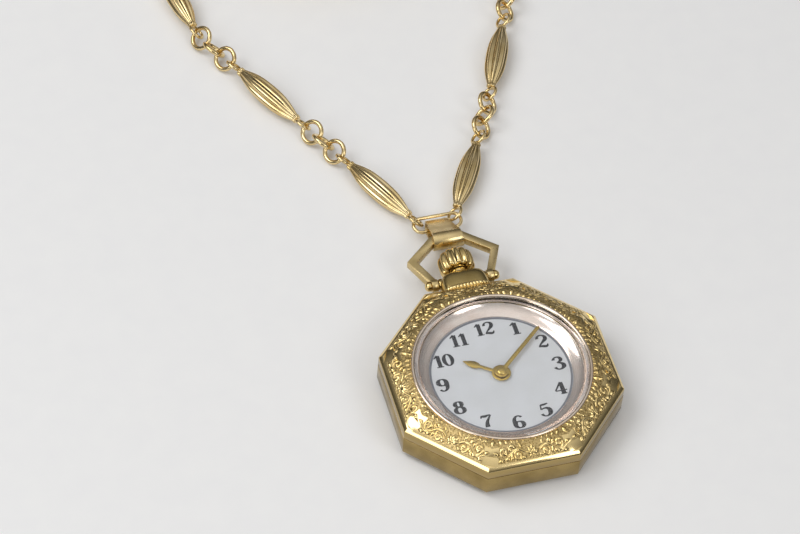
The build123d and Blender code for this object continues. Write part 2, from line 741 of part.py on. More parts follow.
def balance_wheel():
    body = pin(balance_radius, rim_low, rim_high, balance_at, DRUM_SIDES)
    body -= pin(balance_radius - balance_rim_width, rim_low - OVERRUN, rim_high + OVERRUN, balance_at, DRUM_SIDES)
    tips = [polar(balance_radius - balance_rim_width / 2, lever_angle + turn, balance_at) for turn in (90, 270)]
    body += bar(tips[0], tips[1], balance_arm_width, rim_low, rim_low + wheel_thickness)
    body += pin(balance_arm_width, rim_low, rim_low + wheel_thickness, balance_at)
    roller_low = rim_high + SEAM
    body += pin(roller_radius, roller_low, pallet_low - SEAM, balance_at, TUBE_SIDES)
    jewel = polar(-impulse_circle, lever_angle, balance_at)
    body += pin(impulse_radius, roller_low, pallet_high, jewel)
    return body + arbor(balance_at)


def hairspring():
    """Its outer end is held in the cock's stud. Its inner end stops just short of the balance staff."""
    inner = arbor_radius + hairspring_thickness + SEAM
    outer = hairspring_outer_radius - hairspring_thickness / 2 - SEAM
    return spiral(balance_at, inner, outer, hairspring_turns, hairspring_thickness, spring_low, hairspring_height,
                  direction(balance_at, stud_at))


# Winding work

def pin_y(radius, start, end, sides=PIN_SIDES):
    """A round bar along the stem's axis, with its corners on the radius."""
    return Pos(0, end, stem_height) * Rot(90, 0, 0) * pin(radius, 0, end - start, sides=sides)


def pin_hole_y(radius, start, end, sides=PIN_SIDES):
    """A passage along the stem's axis, with its flats on the radius."""
    return Pos(0, end, stem_height) * Rot(90, 0, 0) * pin_hole(radius, 0, end - start, sides=sides)


def fluted_y(count, sections, phase=0.0):
    """A fluted body along the stem's axis, through (place, tip radius, root radius) sections."""
    return faceted([[(x, y, stem_height + z) for x, z in star(count, tip, root, phase)] for y, tip, root in sections])


crown_low = neck_top + tube_above_neck + crown_gap
crown_high = crown_low + crown_length


def winding_stem():
    shank_end = crown_high - crown_length / 3
    body = pin_y(stem_radius, pinion_y - winding_pinion_length / 2, shank_end)
    side = stem_radius * 1.3
    square = Box(side, pinion_y - stem_inner_end, side, align=(Align.CENTER, Align.MIN, Align.CENTER))
    return body + Pos(0, stem_inner_end, stem_height) * square


def winding_pinion():
    half = winding_pinion_length / 2
    tip, root = winding_pinion_radius, winding_pinion_radius * 0.76
    body = fluted_y(winding_leaves, [(pinion_y - half, tip, root), (pinion_y + half, tip, root)], 90)
    return body - pin_hole_y(stem_radius + FIT, pinion_y - half - OVERRUN, pinion_y + half + OVERRUN)


def sliding_pinion():
    high = pinion_y - winding_pinion_length / 2 - LOOSE
    low = high - sliding_pinion_length
    tip = sliding_pinion_radius
    body = fluted_y(winding_leaves, [(low, tip, tip * 0.76), (high, tip, tip * 0.76)], 90)
    side = stem_radius * 1.3 + 2 * FIT
    square = Box(side, sliding_pinion_length + 2 * OVERRUN, side)
    return body - Pos(0, (low + high) / 2, stem_height) * square


def crown_wheel():
    """Spur teeth drive the ratchet wheel, and the ring of face teeth meets the winding pinion."""
    outer, inner = (face_teeth_radius + side * face_teeth_width / 2 for side in (1, -1))
    teeth_high = stem_height - winding_pinion_radius + 0.3 * face_teeth_height
    body = gear(crown_wheel_teeth, winding_module, winding_low, winding_high, crown_wheel_at,
                meshing_phase(direction(barrel_at, crown_wheel_at), crown_wheel_teeth))
    core = winding_module * (crown_wheel_teeth / 2 - 1.2)
    sides = crown_wheel_teeth
    body += pin(core, winding_low, winding_high + SEAM, crown_wheel_at, sides)
    body += pin(outer, winding_high, teeth_high - face_teeth_height, crown_wheel_at, sides)
    body -= pin_hole(inner - SEAM, winding_high + SEAM, teeth_high, crown_wheel_at, sides)
    for i in range(crown_wheel_teeth):
        turn = 90 + 360 / crown_wheel_teeth * (i + 0.5)
        width = pi * face_teeth_radius / crown_wheel_teeth * 0.8
        body += bar(polar(inner, turn, crown_wheel_at), polar(outer * 0.98, turn, crown_wheel_at), width,
                    teeth_high - face_teeth_height - SEAM, teeth_high)
    return body - pierced(crown_wheel_post_radius + FIT, winding_low, winding_high, crown_wheel_at)


def click():
    low, high = winding_low, winding_high
    tip_radius = winding_module * (ratchet_teeth / 2 + 0.85) + LOOSE / 2
    tip = polar(tip_radius + click_width / 2, click_angle + click_reach_angle, barrel_at)
    body = pin(click_width, low, high, click_at, TUBE_SIDES) + bar(click_at, tip, click_width, low, high)
    return body - pierced(arbor_radius + FIT, low, high, click_at)


def crown():
    tip, root = crown_radius, crown_radius - crown_flute_depth
    shares = ((0.00, 0.80), (0.18, 1.00), (0.62, 1.00), (0.86, 0.80), (1.00, 0.42))
    sections = [(crown_low + crown_length * y, tip * r, root * r) for y, r in shares]
    body = fluted_y(crown_flutes, sections)
    body -= pin_hole_y(tube_radius + LOOSE, crown_low - OVERRUN, crown_low + tube_above_neck + LOOSE, TUBE_SIDES)
    return body - pin_hole_y(stem_radius + FIT / 2, crown_low, crown_high - crown_length / 3 + SEAM)


def pendant_tube():
    start = case_flats / 2 + LOOSE
    body = pin_y(tube_radius, start, neck_top + tube_above_neck, TUBE_SIDES)
    return body - pin_hole_y(stem_radius + 2 * FIT, start - OVERRUN, neck_top + tube_above_neck + OVERRUN)


# Bow, its screws and the bail

def ribbon(points, width, low, high):
    """A flat bar of even width along a path, with mitred corners."""
    sides = []
    for sign in (1, -1):
        edge = []
        for i, point in enumerate(points):
            before = direction(points[i - 1], point) if i else direction(point, points[1])
            after = direction(point, points[i + 1]) if i < len(points) - 1 else before
            half = (after - before + 180) % 360 - 180
            reach = sign * width / 2 / cos(radians(half / 2))
            edge.append(polar(reach, before + half / 2 + 90, point))
        sides.append(edge)
    return prism(sides[0] + sides[1][::-1], low, high)


bow_eye_middle = neck_width / 2 + LOOSE + bow_eye_width / 2


def bow():
    low, high = stem_height - bow_bar_depth / 2, stem_height + bow_bar_depth / 2
    right = [(bow_eye_middle, bow_pivot), bow_side, bow_top]
    left = [(-x, y) for x, y in reversed(right)]
    body = ribbon(right + left, bow_bar_width, low, high)
    inner = neck_width / 2 + LOOSE
    for side in (-1, 1):
        place = Pos(side * inner, bow_pivot, stem_height) * Rot(0, 90 * side, 0)
        body += place * pin(bow_eye_radius, 0, bow_eye_width, sides=TUBE_SIDES)
        body -= place * pin_hole(bow_screw_radius + FIT, -OVERRUN, bow_eye_width + OVERRUN)
        body -= place * pin_hole(bow_screw_head_radius + SEAM, bow_eye_width, bow_eye_width + bow_bar_width,
                                 sides=TUBE_SIDES)
    return body - Pos(0, bow_pivot, stem_height) * Box(2 * inner, 3 * bow_eye_radius, 2 * bow_bar_depth)


def bow_screws():
    """Two screws with round heads, turned out of flat rings."""
    outside = bow_eye_middle + bow_eye_width / 2 + FIT
    screws = []
    for side in (-1, 1):
        screw = pin(bow_screw_radius, neck_width / 2 - bow_screw_depth, outside + FIT)
        rings = [[(*polar(bow_screw_head_radius * width, 360 / TUBE_SIDES * i),
                   outside + bow_screw_head_radius * height) for i in range(TUBE_SIDES)]
                 for width, height in bow_screw_head_shares]
        screw += faceted(rings)
        screws.append(Pos(0, bow_pivot, stem_height) * Rot(0, 90 * side, 0) * screw)
    return Compound(children=screws)


def loop_outline(bow_radius, end_radius):
    """The outline round the bow's bar and the ring's end, in the YZ plane: two circles and their tangents."""
    start, end = (bow_top[1], stem_height), (bail_reach, bail_end_height)
    length, lean = dist(start, end), direction(start, end)
    spread = degrees(atan2(bow_radius - end_radius, sqrt(length**2 - (bow_radius - end_radius) ** 2)))
    upper, lower = lean + 90 - spread, lean - 90 + spread
    a, b = polar(bow_radius, upper, start), polar(end_radius, upper, end)
    c, d = polar(end_radius, lower, end), polar(bow_radius, lower, start)
    return [Line(a, b), ThreePointArc(b, polar(end_radius, lean, end), c), Line(c, d),
            ThreePointArc(d, polar(bow_radius, lean + 180, start), a)]


bail_end_height = bail_end_clearance + bail_wall


def bail():
    """A folded ribbon, wider at the bow than at the ring."""
    outer = loop_outline(bail_bow_clearance + bail_wall, bail_end_clearance + bail_wall)
    inner = loop_outline(bail_bow_clearance, bail_end_clearance)
    plane = Plane(origin=(0, 0, 0), x_dir=(0, 1, 0), z_dir=(1, 0, 0))
    face = plane * (make_face(outer) - make_face(inner))
    body = extrude(face, amount=bail_bow_width / 2, both=True)
    low_y = bow_top[1] - bail_bow_clearance - bail_wall
    high_y = bail_reach + bail_end_clearance + bail_wall
    plan = [(-bail_bow_width / 2, low_y), (bail_bow_width / 2, low_y), (bail_end_width / 2, high_y),
            (-bail_end_width / 2, high_y)]
    return body & prism(plan, -OVERRUN, case_flats)


# Necklace

def wire_ring(radius, wire, steps, sides):
    """A round ring of wire in the XY plane, as large as a true one inside."""
    reach = radius / cos(pi / steps)
    return faceted_loop([(polar(reach, 360 * i / steps), 360 * i / steps) for i in range(steps)], wire, sides)


def link_plane(at, heading, roll):
    """A plane at a link's middle: X along the chain, Z leaning from straight up by the roll."""
    along = Vector(cos(radians(heading)), sin(radians(heading)), 0)
    across = Vector(-along.Y, along.X, 0)
    normal = across * -sin(radians(roll)) + Vector(0, 0, 1) * cos(radians(roll))
    return Plane(origin=(at[0], at[1], chain_height), x_dir=along, z_dir=normal)


def chain_ring(at, heading, roll):
    return link_plane(at, heading, roll).location * wire_ring(ring_radius, ring_wire, ring_steps, ring_sides)


def spindle(at, heading, roll):
    """A fluted cigar with an eye at each end."""
    body_length = spindle_length - 2 * eye_radius
    outlines = []
    for place, fullness in spindle_shares:
        tip, root = spindle_radius * fullness, (spindle_radius - spindle_flute_depth) * fullness
        outlines.append([(place * body_length, y, z) for y, z in star(spindle_flutes, tip, root)])
    body = faceted(outlines)
    for side in (-1, 1):
        body += Pos(side * spindle_length / 2, 0, 0) * wire_ring(eye_radius, eye_wire, eye_steps, eye_sides)
    return link_plane(at, heading, roll).location * body


eye_to_ring = eye_radius + ring_radius - eye_wire - ring_wire - link_slack
ring_to_ring = 2 * (ring_radius - ring_wire) - link_slack

# The pendant ring leans from inside the bail to just past its end
bail_lean = direction((bow_top[1], stem_height), (bail_reach, bail_end_height))
ring_inside = polar(-pendant_ring_back, bail_lean, (bail_reach, bail_end_height))
ring_clear = bail_end_clearance + bail_wall + pendant_ring_wire + 1.5 * LOOSE
ring_outside = polar(ring_clear, pendant_ring_rise_angle, (bail_reach, bail_end_height))
ring_half_width = dist(ring_inside, ring_outside) / 2
ring_middle = ((ring_inside[0] + ring_outside[0]) / 2, (ring_inside[1] + ring_outside[1]) / 2)
ring_lean = direction(ring_inside, ring_outside)
ring_end = pendant_ring_length / 2 - ring_half_width


def pendant_ring():
    """An oval ring of round wire that passes through the bail."""
    lean = radians(ring_lean)
    plane = Plane(origin=(0, ring_middle[0], ring_middle[1]), x_dir=(1, 0, 0), z_dir=(0, -sin(lean), cos(lean)))
    places = []
    for side in (1, -1):
        for i in range(pendant_ring_steps + 1):
            turn = 180 * (i / pendant_ring_steps - 0.5) + 90 * (1 - side)
            places.append((polar(ring_half_width, turn, (side * ring_end, 0)), turn))
    return plane.location * faceted_loop(places, pendant_ring_wire, ring_sides)


def strand(side, headings):
    """The visible links of one side, in order from the pendant ring, as (name, middle, heading, roll, pivot)."""
    first = headings[0]
    wire = polar(ring_half_width, first, (side * ring_end, ring_middle[0]))
    links, pivot = [], wire
    eye = polar(eye_play, first, wire)
    for number, (along, next_along) in enumerate(((headings[0], headings[1]), (headings[2], headings[3])), 1):
        links.append((f"spindle_{number}", polar(spindle_length / 2, along, eye), along, -side * link_roll, pivot))
        far_eye = polar(spindle_length, along, eye)
        rings = 3 if number == 1 else 2
        at, roll = far_eye, side * link_roll
        for i in range(rings):
            gap = eye_to_ring if i == 0 else ring_to_ring
            pivot = polar(gap / 2 if i else (eye_radius + gap - ring_radius) / 2, next_along, at)
            at = polar(gap, next_along, at)
            first_ring = 1 if number == 1 else 4
            links.append((f"ring_{first_ring + i}", at, next_along, roll, pivot))
            roll = -roll
        eye = polar(eye_to_ring, next_along, at)
        pivot = polar((ring_radius + eye_to_ring - eye_radius) / 2, next_along, at)
    return links


strands = {"left": strand(-1, left_headings), "right": strand(1, right_headings)}

tube_side = chain_diameter * sqrt(pi) / 2  # a square tube with as much in its section as a round one
upper_height = chain_height + coil_layer_rise


def coil_halves():
    """The coil's half turns as (start x, end x, start height, end height), clockwise from the left.

    They spiral in on the surface, climb a layer in the innermost half turn, and spiral out again on top."""
    lower = [side * (coil_radius - coil_pitch * turn) for turn in range(coil_turns) for side in (-1, 1)]
    inner = lower[-1]
    ends = list(lower)
    for turn in range(coil_turns):
        ends += [coil_pitch - inner - coil_pitch * turn, inner + climb_room + coil_pitch * turn]
    heights = [chain_height] * len(lower) + [upper_height] * (len(ends) - len(lower))
    return list(zip(ends, ends[1:], heights, heights[1:]))


def half_turn_point(number, share):
    start, end, low, high = coil_halves()[number]
    side = 1 if number % 2 == 0 else -1
    turn = pi * share
    along = -cos(turn)
    return (coil_place[0] + (start + end) / 2 + (end - start) / 2 * along,
            coil_place[1] + side * abs(end - start) / 2 * sin(turn), (low + high) / 2 + (high - low) / 2 * along)


def tube(path, start, heading):
    """A tube with a flat underneath, round a path."""
    section = Plane(origin=start, x_dir=(0, 0, 1), z_dir=heading) * Rectangle(tube_side, tube_side)
    return sweep(section, path=path)


def necklace_coil():
    numbers = range(len(coil_halves()))
    path = Wire([ThreePointArc(*(half_turn_point(number, share) for share in (0, 0.5, 1))) for number in numbers])
    points = [half_turn_point(number, i / coil_samples) for number in numbers for i in range(coil_samples)]
    step = path.length / len(points)
    apart = ceil(4 * chain_diameter / step)
    gap = min(tube_gap(a, b) for i, a in enumerate(points) for b in points[i + apart:])
    print(f"coil: {path.length:.1f} mm of chain, least gap to itself {gap:.2f} mm")
    return tube(path, half_turn_point(0, 0), (0, 1, 0))


def tube_gap(a, b):
    """The gap between two stretches of upright tube, from points on their middle lines."""
    return hypot(max(dist(a[:2], b[:2]) - tube_side, 0), max(abs(a[2] - b[2]) - tube_side, 0))


def tail_route(side):
    """The free chain from the last visible ring to the coil, as points chosen by hand."""
    _, last, heading, _, _ = strands["left" if side < 0 else "right"][-1]
    start = polar(ring_radius + ring_wire + tail_gap, heading, last)
    end = half_turn_point(0, 0) if side < 0 else half_turn_point(len(coil_halves()) - 1, 1)
    rest = end[1] - start[1]
    return [(start[0], start[1], chain_height),
            (side * tail_side * 0.965, start[1] + 0.16 * rest, chain_height),
            (side * tail_side, start[1] + 0.44 * rest, chain_height),
            (end[0], start[1] + 0.72 * rest, end[2]), (end[0], end[1] - SEAM, end[2])]


def tail(side):
    route = tail_route(side)
    radii = []
    for before, at, after in zip(route, route[1:], route[2:]):
        turn = radians((Vector(*at) - Vector(*before)).get_angle(Vector(*after) - Vector(*at)))
        radii.append(0.45 * min(dist(before, at), dist(at, after)) / tan(turn / 2))
    path = FilletPolyline(*route, radius=radii)
    print(f"tail: {path.length:.1f} mm of chain, bends of radius", [round(r, 1) for r in radii])
    heading = Vector(*route[1]) - Vector(*route[0])
    body = tube(path, route[0], heading)
    share = body.volume / (path.length * tube_side**2)
    print(f"tail: volume is {share:.3f} of section times length")
    return body


def all_nodes():
    """Each sub-part's name with the function that makes it."""
    makers = [case_middle, bezel, crystal, rehaut_ring, case_back, dial, minute_hand, hour_hand, cannon_pinion, minute_wheel, hour_wheel, main_plate, barrel_bridge,
              train_bridge, balance_cock, pallet_cock, bridge_screws, mainspring_barrel, mainspring, barrel_arbor,
              ratchet_wheel, center_wheel, third_wheel, fourth_wheel, escape_wheel, pallet_fork, balance_wheel,
              hairspring, winding_stem, winding_pinion, sliding_pinion, crown_wheel, click, crown, pendant_tube,
              bow, bow_screws, bail, pendant_ring, necklace_coil]
    nodes = {make.__name__: make for make in makers}
    for side, links in strands.items():
        for name, at, heading, roll, _ in links:
            shape = spindle if name.startswith("spindle") else chain_ring
            nodes[f"{side}_{name}"] = lambda shape=shape, at=at, heading=heading, roll=roll: shape(at, heading, roll)
        nodes[f"{side}_tail"] = lambda side=side: tail(-1 if side == "left" else 1)
    return nodes


def main():
    os.makedirs("parts", exist_ok=True)
    for name, make in all_nodes().items():
        export_step(make(), f"parts/{name}.step")


if __name__ == "__main__":
    main()
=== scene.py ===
"""A small octagonal pendant watch on its necklace, laid out on a pale floor.

The solids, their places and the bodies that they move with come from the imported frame. This script models the
looks: the engraved bezel, the softened metal edges, the dial's numerals, the chain link by link, the finishes, and
the camera and lights.
"""

import json
import logging
import math
from abc import ABC, abstractmethod
from collections.abc import Callable, Iterator, Sequence
from contextlib import contextmanager
from dataclasses import dataclass
from enum import Enum

import bmesh
import bpy
import numpy as np
from mathutils import Matrix, Vector


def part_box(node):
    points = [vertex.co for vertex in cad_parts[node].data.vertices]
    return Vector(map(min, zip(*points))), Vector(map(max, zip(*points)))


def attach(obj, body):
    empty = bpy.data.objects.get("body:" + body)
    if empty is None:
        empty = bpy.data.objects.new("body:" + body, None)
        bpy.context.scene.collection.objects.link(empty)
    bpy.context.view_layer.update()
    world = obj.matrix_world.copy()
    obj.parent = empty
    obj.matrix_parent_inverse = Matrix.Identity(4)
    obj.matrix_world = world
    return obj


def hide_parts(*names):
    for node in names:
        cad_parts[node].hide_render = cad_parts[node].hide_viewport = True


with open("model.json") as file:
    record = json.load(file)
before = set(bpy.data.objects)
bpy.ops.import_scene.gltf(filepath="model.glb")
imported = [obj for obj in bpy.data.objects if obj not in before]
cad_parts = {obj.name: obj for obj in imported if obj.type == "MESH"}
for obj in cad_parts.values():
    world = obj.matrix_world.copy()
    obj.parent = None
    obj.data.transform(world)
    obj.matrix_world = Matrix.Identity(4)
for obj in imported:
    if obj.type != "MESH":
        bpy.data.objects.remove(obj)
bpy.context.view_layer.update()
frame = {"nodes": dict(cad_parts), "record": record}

MM = 0.001
WELD = 0.001 * MM
EIGHTH_TURN = math.pi / 4
# Edges that turn by more than this, in degrees, stay sharp: on round wire and beads, and on flutes and low domes
ROUND_ANGLE = 60.0
FLUTE_ANGLE = 50.0
ALONG_X = Matrix.Rotation(math.pi / 2, 4, "Y")
LOG = logging.getLogger("watch")

Point = tuple[float, float, float]
Colour = tuple[float, float, float]
Profile = Sequence[tuple[float, float]]
Piece = bpy.types.Object
Socket = bpy.types.NodeSocket


# The bench: tools that every piece is made with


class Bench:
    """The handful of moves that all the modelling is done with."""

    @staticmethod
    def clear() -> None:
        """Deselects everything."""
        bpy.ops.object.select_all(action="DESELECT")

    @staticmethod
    def pick(piece: Piece) -> None:
        """Makes one piece the only selected and active one.

        Args:
            piece: The piece.
        """
        Bench.clear()
        piece.select_set(True)
        bpy.context.view_layer.objects.active = piece

    @staticmethod
    def fresh(name: str) -> Piece:
        """Names the primitive that was just added.

        Args:
            name: The piece's name.

        Returns:
            The new object, selected and active.
        """
        piece = bpy.context.object
        piece.name = piece.data.name = name
        Bench.pick(piece)
        return piece

    @staticmethod
    @contextmanager
    def editing(piece: Piece) -> Iterator[Piece]:
        """Opens a piece in edit mode with nothing selected.

        Args:
            piece: The mesh to edit.

        Yields:
            The same piece.
        """
        Bench.pick(piece)
        bpy.ops.object.mode_set(mode="EDIT")
        bpy.ops.mesh.select_mode(type="VERT")
        bpy.ops.mesh.select_all(action="DESELECT")
        yield piece
        bpy.ops.object.mode_set(mode="OBJECT")

    @staticmethod
    def choose(piece: Piece, test: Callable[[Vector], bool]) -> None:
        """Selects the vertices of the piece being edited whose place passes a test.

        Args:
            piece: The mesh in edit mode.
            test: Says whether a vertex's place is wanted.
        """
        mesh = bmesh.from_edit_mesh(piece.data)
        for vertex in mesh.verts:
            vertex.select_set(test(vertex.co))
        mesh.select_flush(True)
        bmesh.update_edit_mesh(piece.data)

    @staticmethod
    def face_out() -> None:
        """Turns all faces of the piece being edited outwards."""
        bpy.ops.mesh.select_all(action="SELECT")
        bpy.ops.mesh.normals_make_consistent(inside=False)

    @staticmethod
    def modify(piece: Piece, kind: str, **values: object) -> None:
        """Adds a modifier and applies it.

        Args:
            piece: The piece to change.
            kind: The modifier's type.
            **values: The modifier's settings.
        """
        Bench.pick(piece)
        modifier = piece.modifiers.new(kind.title(), kind)
        for name, value in values.items():
            setattr(modifier, name, value)
        bpy.ops.object.modifier_apply(modifier=modifier.name)

    @staticmethod
    def place(piece: Piece, matrix: Matrix) -> Piece:
        """Moves a piece by its mesh, so that its object stays at the origin.

        Args:
            piece: The piece to move.
            matrix: Where its present frame goes.

        Returns:
            The same piece.
        """
        piece.data.transform(matrix)
        piece.data.update()
        return piece

    @staticmethod
    def settle(piece: Piece) -> Piece:
        """Puts a primitive's own place into its mesh.

        Args:
            piece: The primitive.

        Returns:
            The same piece.
        """
        Bench.pick(piece)
        bpy.ops.object.transform_apply(location=True, rotation=True, scale=True)
        return piece

    @staticmethod
    def copy(piece: Piece, name: str, matrix: Matrix) -> Piece:
        """Copies a modelled piece with its own mesh.

        Args:
            piece: The model to copy.
            name: The copy's name.
            matrix: Where the model's frame goes.

        Returns:
            The copy.
        """
        copy = piece.copy()
        copy.data = piece.data.copy()
        copy.name = copy.data.name = name
        bpy.context.scene.collection.objects.link(copy)
        return Bench.place(copy, matrix)

    @staticmethod
    def join(pieces: list[Piece], name: str) -> Piece:
        """Joins pieces into one mesh.

        Args:
            pieces: The pieces to join. The first one carries the result.
            name: The result's name.

        Returns:
            The joined piece.
        """
        Bench.pick(pieces[0])
        for piece in pieces:
            piece.select_set(True)
        bpy.ops.object.join()
        return Bench.fresh(name)

    @staticmethod
    def repeat(model: Piece, places: list[Matrix], name: str) -> Piece:
        """Copies a model to each place, joins the copies and throws the model away.

        Args:
            model: The piece that repeats.
            places: Where the model's frame goes, for each copy.
            name: The joined piece's name.

        Returns:
            The joined piece.
        """
        copies = [Bench.copy(model, name, place) for place in places]
        Bench.discard(model)
        return Bench.join(copies, name)

    @staticmethod
    def discard(*pieces: Piece) -> None:
        """Throws pieces away that only served as models or tools."""
        for piece in pieces:
            bpy.data.objects.remove(piece)

    @staticmethod
    def smooth(piece: Piece, angle: float = 40.0) -> Piece:
        """Shades a piece smooth, and keeps its edges.

        Args:
            piece: The piece.
            angle: How far faces turn where they meet in an edge, in degrees.

        Returns:
            The same piece.
        """
        Bench.pick(piece)
        bpy.ops.object.shade_smooth_by_angle(angle=math.radians(angle))
        return piece

    @staticmethod
    def spline(curve: bpy.types.Curve, kind: str, points: list[Point], fineness: int = 5) -> bpy.types.Spline:
        """Adds an open spline to a curve.

        Args:
            curve: The curve.
            kind: POLY for straight runs, or NURBS for a smooth line.
            points: The points that it is drawn by.
            fineness: The steps of a smooth line between them.

        Returns:
            The spline.
        """
        spline = curve.splines.new(kind)
        spline.points.add(len(points) - 1)
        for spot, place in zip(spline.points, points):
            spot.co = (*place, 1)
        if kind == "NURBS":
            spline.order_u = 3
            spline.use_endpoint_u = True
            spline.resolution_u = fineness
        return spline

    @staticmethod
    def drawn(name: str, strokes: list[list[Point]], kind: str, depth: float, rounding: int) -> Piece:
        """Draws round strokes of changing width on the XY plane and makes a mesh of them.

        Args:
            name: The piece's name.
            strokes: Each stroke's points: X, Y and a width share.
            kind: The splines' type.
            depth: Half the width of a stroke whose share is 1.
            rounding: How finely the strokes are rounded.

        Returns:
            The piece.
        """
        curve = bpy.data.curves.new(name, "CURVE")
        curve.dimensions = "3D"
        curve.bevel_depth = depth
        curve.bevel_resolution = rounding
        curve.use_fill_caps = True
        for stroke in strokes:
            spline = Bench.spline(curve, kind, [(x, y, 0) for x, y, _ in stroke])
            for spot, (_, _, width) in zip(spline.points, stroke):
                spot.radius = width
        holder = bpy.data.objects.new(name, curve)
        bpy.context.scene.collection.objects.link(holder)
        Bench.pick(holder)
        bpy.ops.object.convert(target="MESH")
        return Bench.fresh(name)

    @staticmethod
    def turned(name: str, profile: Profile, steps: int, fluting: tuple[float, ...] = ()) -> Piece:
        """Turns a solid as on a lathe, standing on +Z, and flutes it if asked.

        Args:
            name: The piece's name.
            profile: The radius and height of each ring, from the foot up.
            steps: How many corners a ring has.
            fluting: How far the corners of one flute stand out in turn, as shares of the radius.

        Returns:
            The closed piece.
        """
        Bench.clear()
        radius, height = profile[0]
        bpy.ops.mesh.primitive_circle_add(vertices=steps, radius=radius, fill_type="NGON", location=(0, 0, height))
        piece = Bench.settle(Bench.fresh(name))
        with Bench.editing(piece):
            step = 2 * math.pi / steps
            for rest, share in enumerate(fluting):
                Bench.choose(piece, lambda co: round(math.atan2(co.y, co.x) / step) % len(fluting) == rest)
                bpy.ops.transform.resize(value=(share, share, 1), center_override=(0, 0, height))
            bpy.ops.mesh.select_all(action="SELECT")
            for (before, low), (after, high) in zip(profile, profile[1:]):
                bpy.ops.mesh.extrude_region_move(TRANSFORM_OT_translate={"value": (0, 0, high - low)})
                share = after / before
                bpy.ops.transform.resize(value=(share, share, 1), center_override=(0, 0, high))
            Bench.face_out()
        return piece

    @staticmethod
    def spun(name: str, section: Profile, steps: int) -> Piece:
        """Spins a closed section into a ring about Z.

        Args:
            name: The piece's name.
            section: The radius and height of the section's corners, in order.
            steps: How many sides the ring has.

        Returns:
            The ring.
        """
        Bench.clear()
        bpy.ops.mesh.primitive_circle_add(vertices=len(section), radius=1 * MM, fill_type="NGON")
        ring = Bench.fresh(name)
        for vertex, (radius, height) in zip(ring.data.vertices, section):
            vertex.co = (radius, 0, height)
        with Bench.editing(ring):
            bpy.ops.mesh.select_all(action="SELECT")
            bpy.ops.mesh.spin(steps=steps, angle=2 * math.pi, center=(0, 0, 0), axis=(0, 0, 1))
            bpy.ops.mesh.select_all(action="SELECT")
            bpy.ops.mesh.remove_doubles(threshold=WELD)
            bpy.ops.mesh.select_all(action="DESELECT")
            bpy.ops.mesh.select_mode(type="FACE")
            bpy.ops.mesh.select_face_by_sides(number=4, type="GREATER")
            bpy.ops.mesh.delete(type="ONLY_FACE")
            Bench.face_out()
        return ring


def scaled(shares: Profile, radius: float, foot: float, height: float) -> list[tuple[float, float]]:
    """Scales a profile from shares of a radius and of a height to a size and a place.

    Args:
        shares: The shares of each ring.
        radius: The radius that the first shares are of.
        foot: The height where the second shares begin.
        height: The height that they are of.

    Returns:
        The radius and height of each ring.
    """
    return [(radius * wide, foot + height * tall) for wide, tall in shares]


# Finishes


class Shader:
    """A node tree under construction, with short names for the usual nodes."""

    def __init__(self, tree: bpy.types.NodeTree) -> None:
        """Starts on an empty tree."""
        self.tree = tree

    def add(self, kind: str, **values: object) -> bpy.types.Node:
        """Adds a node.

        Args:
            kind: The node's type, without its ShaderNode prefix.
            **values: Settings of the node.

        Returns:
            The new node.
        """
        node = self.tree.nodes.new("ShaderNode" + kind)
        for name, value in values.items():
            setattr(node, name, value)
        return node

    def link(self, start: Socket, end: Socket) -> None:
        """Links two sockets."""
        self.tree.links.new(start, end)

    def feed(self, socket: Socket, value: float | Colour | Socket) -> None:
        """Gives a socket its value.

        Args:
            socket: The socket.
            value: Another socket, or a plain number or colour.
        """
        if isinstance(value, Socket):
            self.link(value, socket)
        else:
            socket.default_value = (*value, 1) if isinstance(value, tuple) else value

    def maths(self, operation: str, *inputs: float | Socket) -> Socket:
        """Adds a Math node.

        Args:
            operation: What it does.
            *inputs: Its numbers or sockets, in order.

        Returns:
            Its result.
        """
        node = self.add("Math", operation=operation)
        for socket, value in zip(node.inputs, inputs):
            self.feed(socket, value)
        return node.outputs[0]

    def noise(self, vector: Socket, scale: float | Socket, detail: float = 3.0) -> Socket:
        """Adds a noise texture.

        Args:
            vector: The coordinates that it reads.
            scale: Its scale, for metres.
            detail: Its octaves.

        Returns:
            Its value.
        """
        node = self.add("TexNoise")
        self.feed(node.inputs["Scale"], scale)
        node.inputs["Detail"].default_value = detail
        self.link(vector, node.inputs["Vector"])
        return node.outputs["Fac"]

    def stretched(self, vector: Socket, scale: Point) -> Socket:
        """Stretches coordinates by a Mapping node.

        Args:
            vector: The coordinates.
            scale: The scale along each axis.

        Returns:
            The stretched coordinates.
        """
        node = self.add("Mapping")
        node.inputs["Scale"].default_value = scale
        self.link(vector, node.inputs["Vector"])
        return node.outputs["Vector"]

    def span(self, value: Socket, low: float, high: float, start: float = 0.3, end: float = 0.7) -> Socket:
        """Maps a value to a range.

        Args:
            value: What is mapped.
            low: The result at start.
            high: The result at end.
            start: The value that gives low.
            end: The value that gives high.

        Returns:
            The mapped value.
        """
        node = self.add("MapRange")
        for name, number in (("From Min", start), ("From Max", end), ("To Min", low), ("To Max", high)):
            node.inputs[name].default_value = number
        self.link(value, node.inputs["Value"])
        return node.outputs["Result"]

    def blend(self, factor: Socket, first: Colour | Socket, second: Colour | Socket) -> Socket:
        """Mixes two colours.

        Args:
            factor: How much of the second.
            first: A colour or its socket.
            second: A colour or its socket.

        Returns:
            The mixed colour.
        """
        node = self.add("Mix", data_type="RGBA")
        for name, value in (("Factor", factor), ("A", first), ("B", second)):
            self.feed(node.inputs[name], value)
        return node.outputs["Result"]


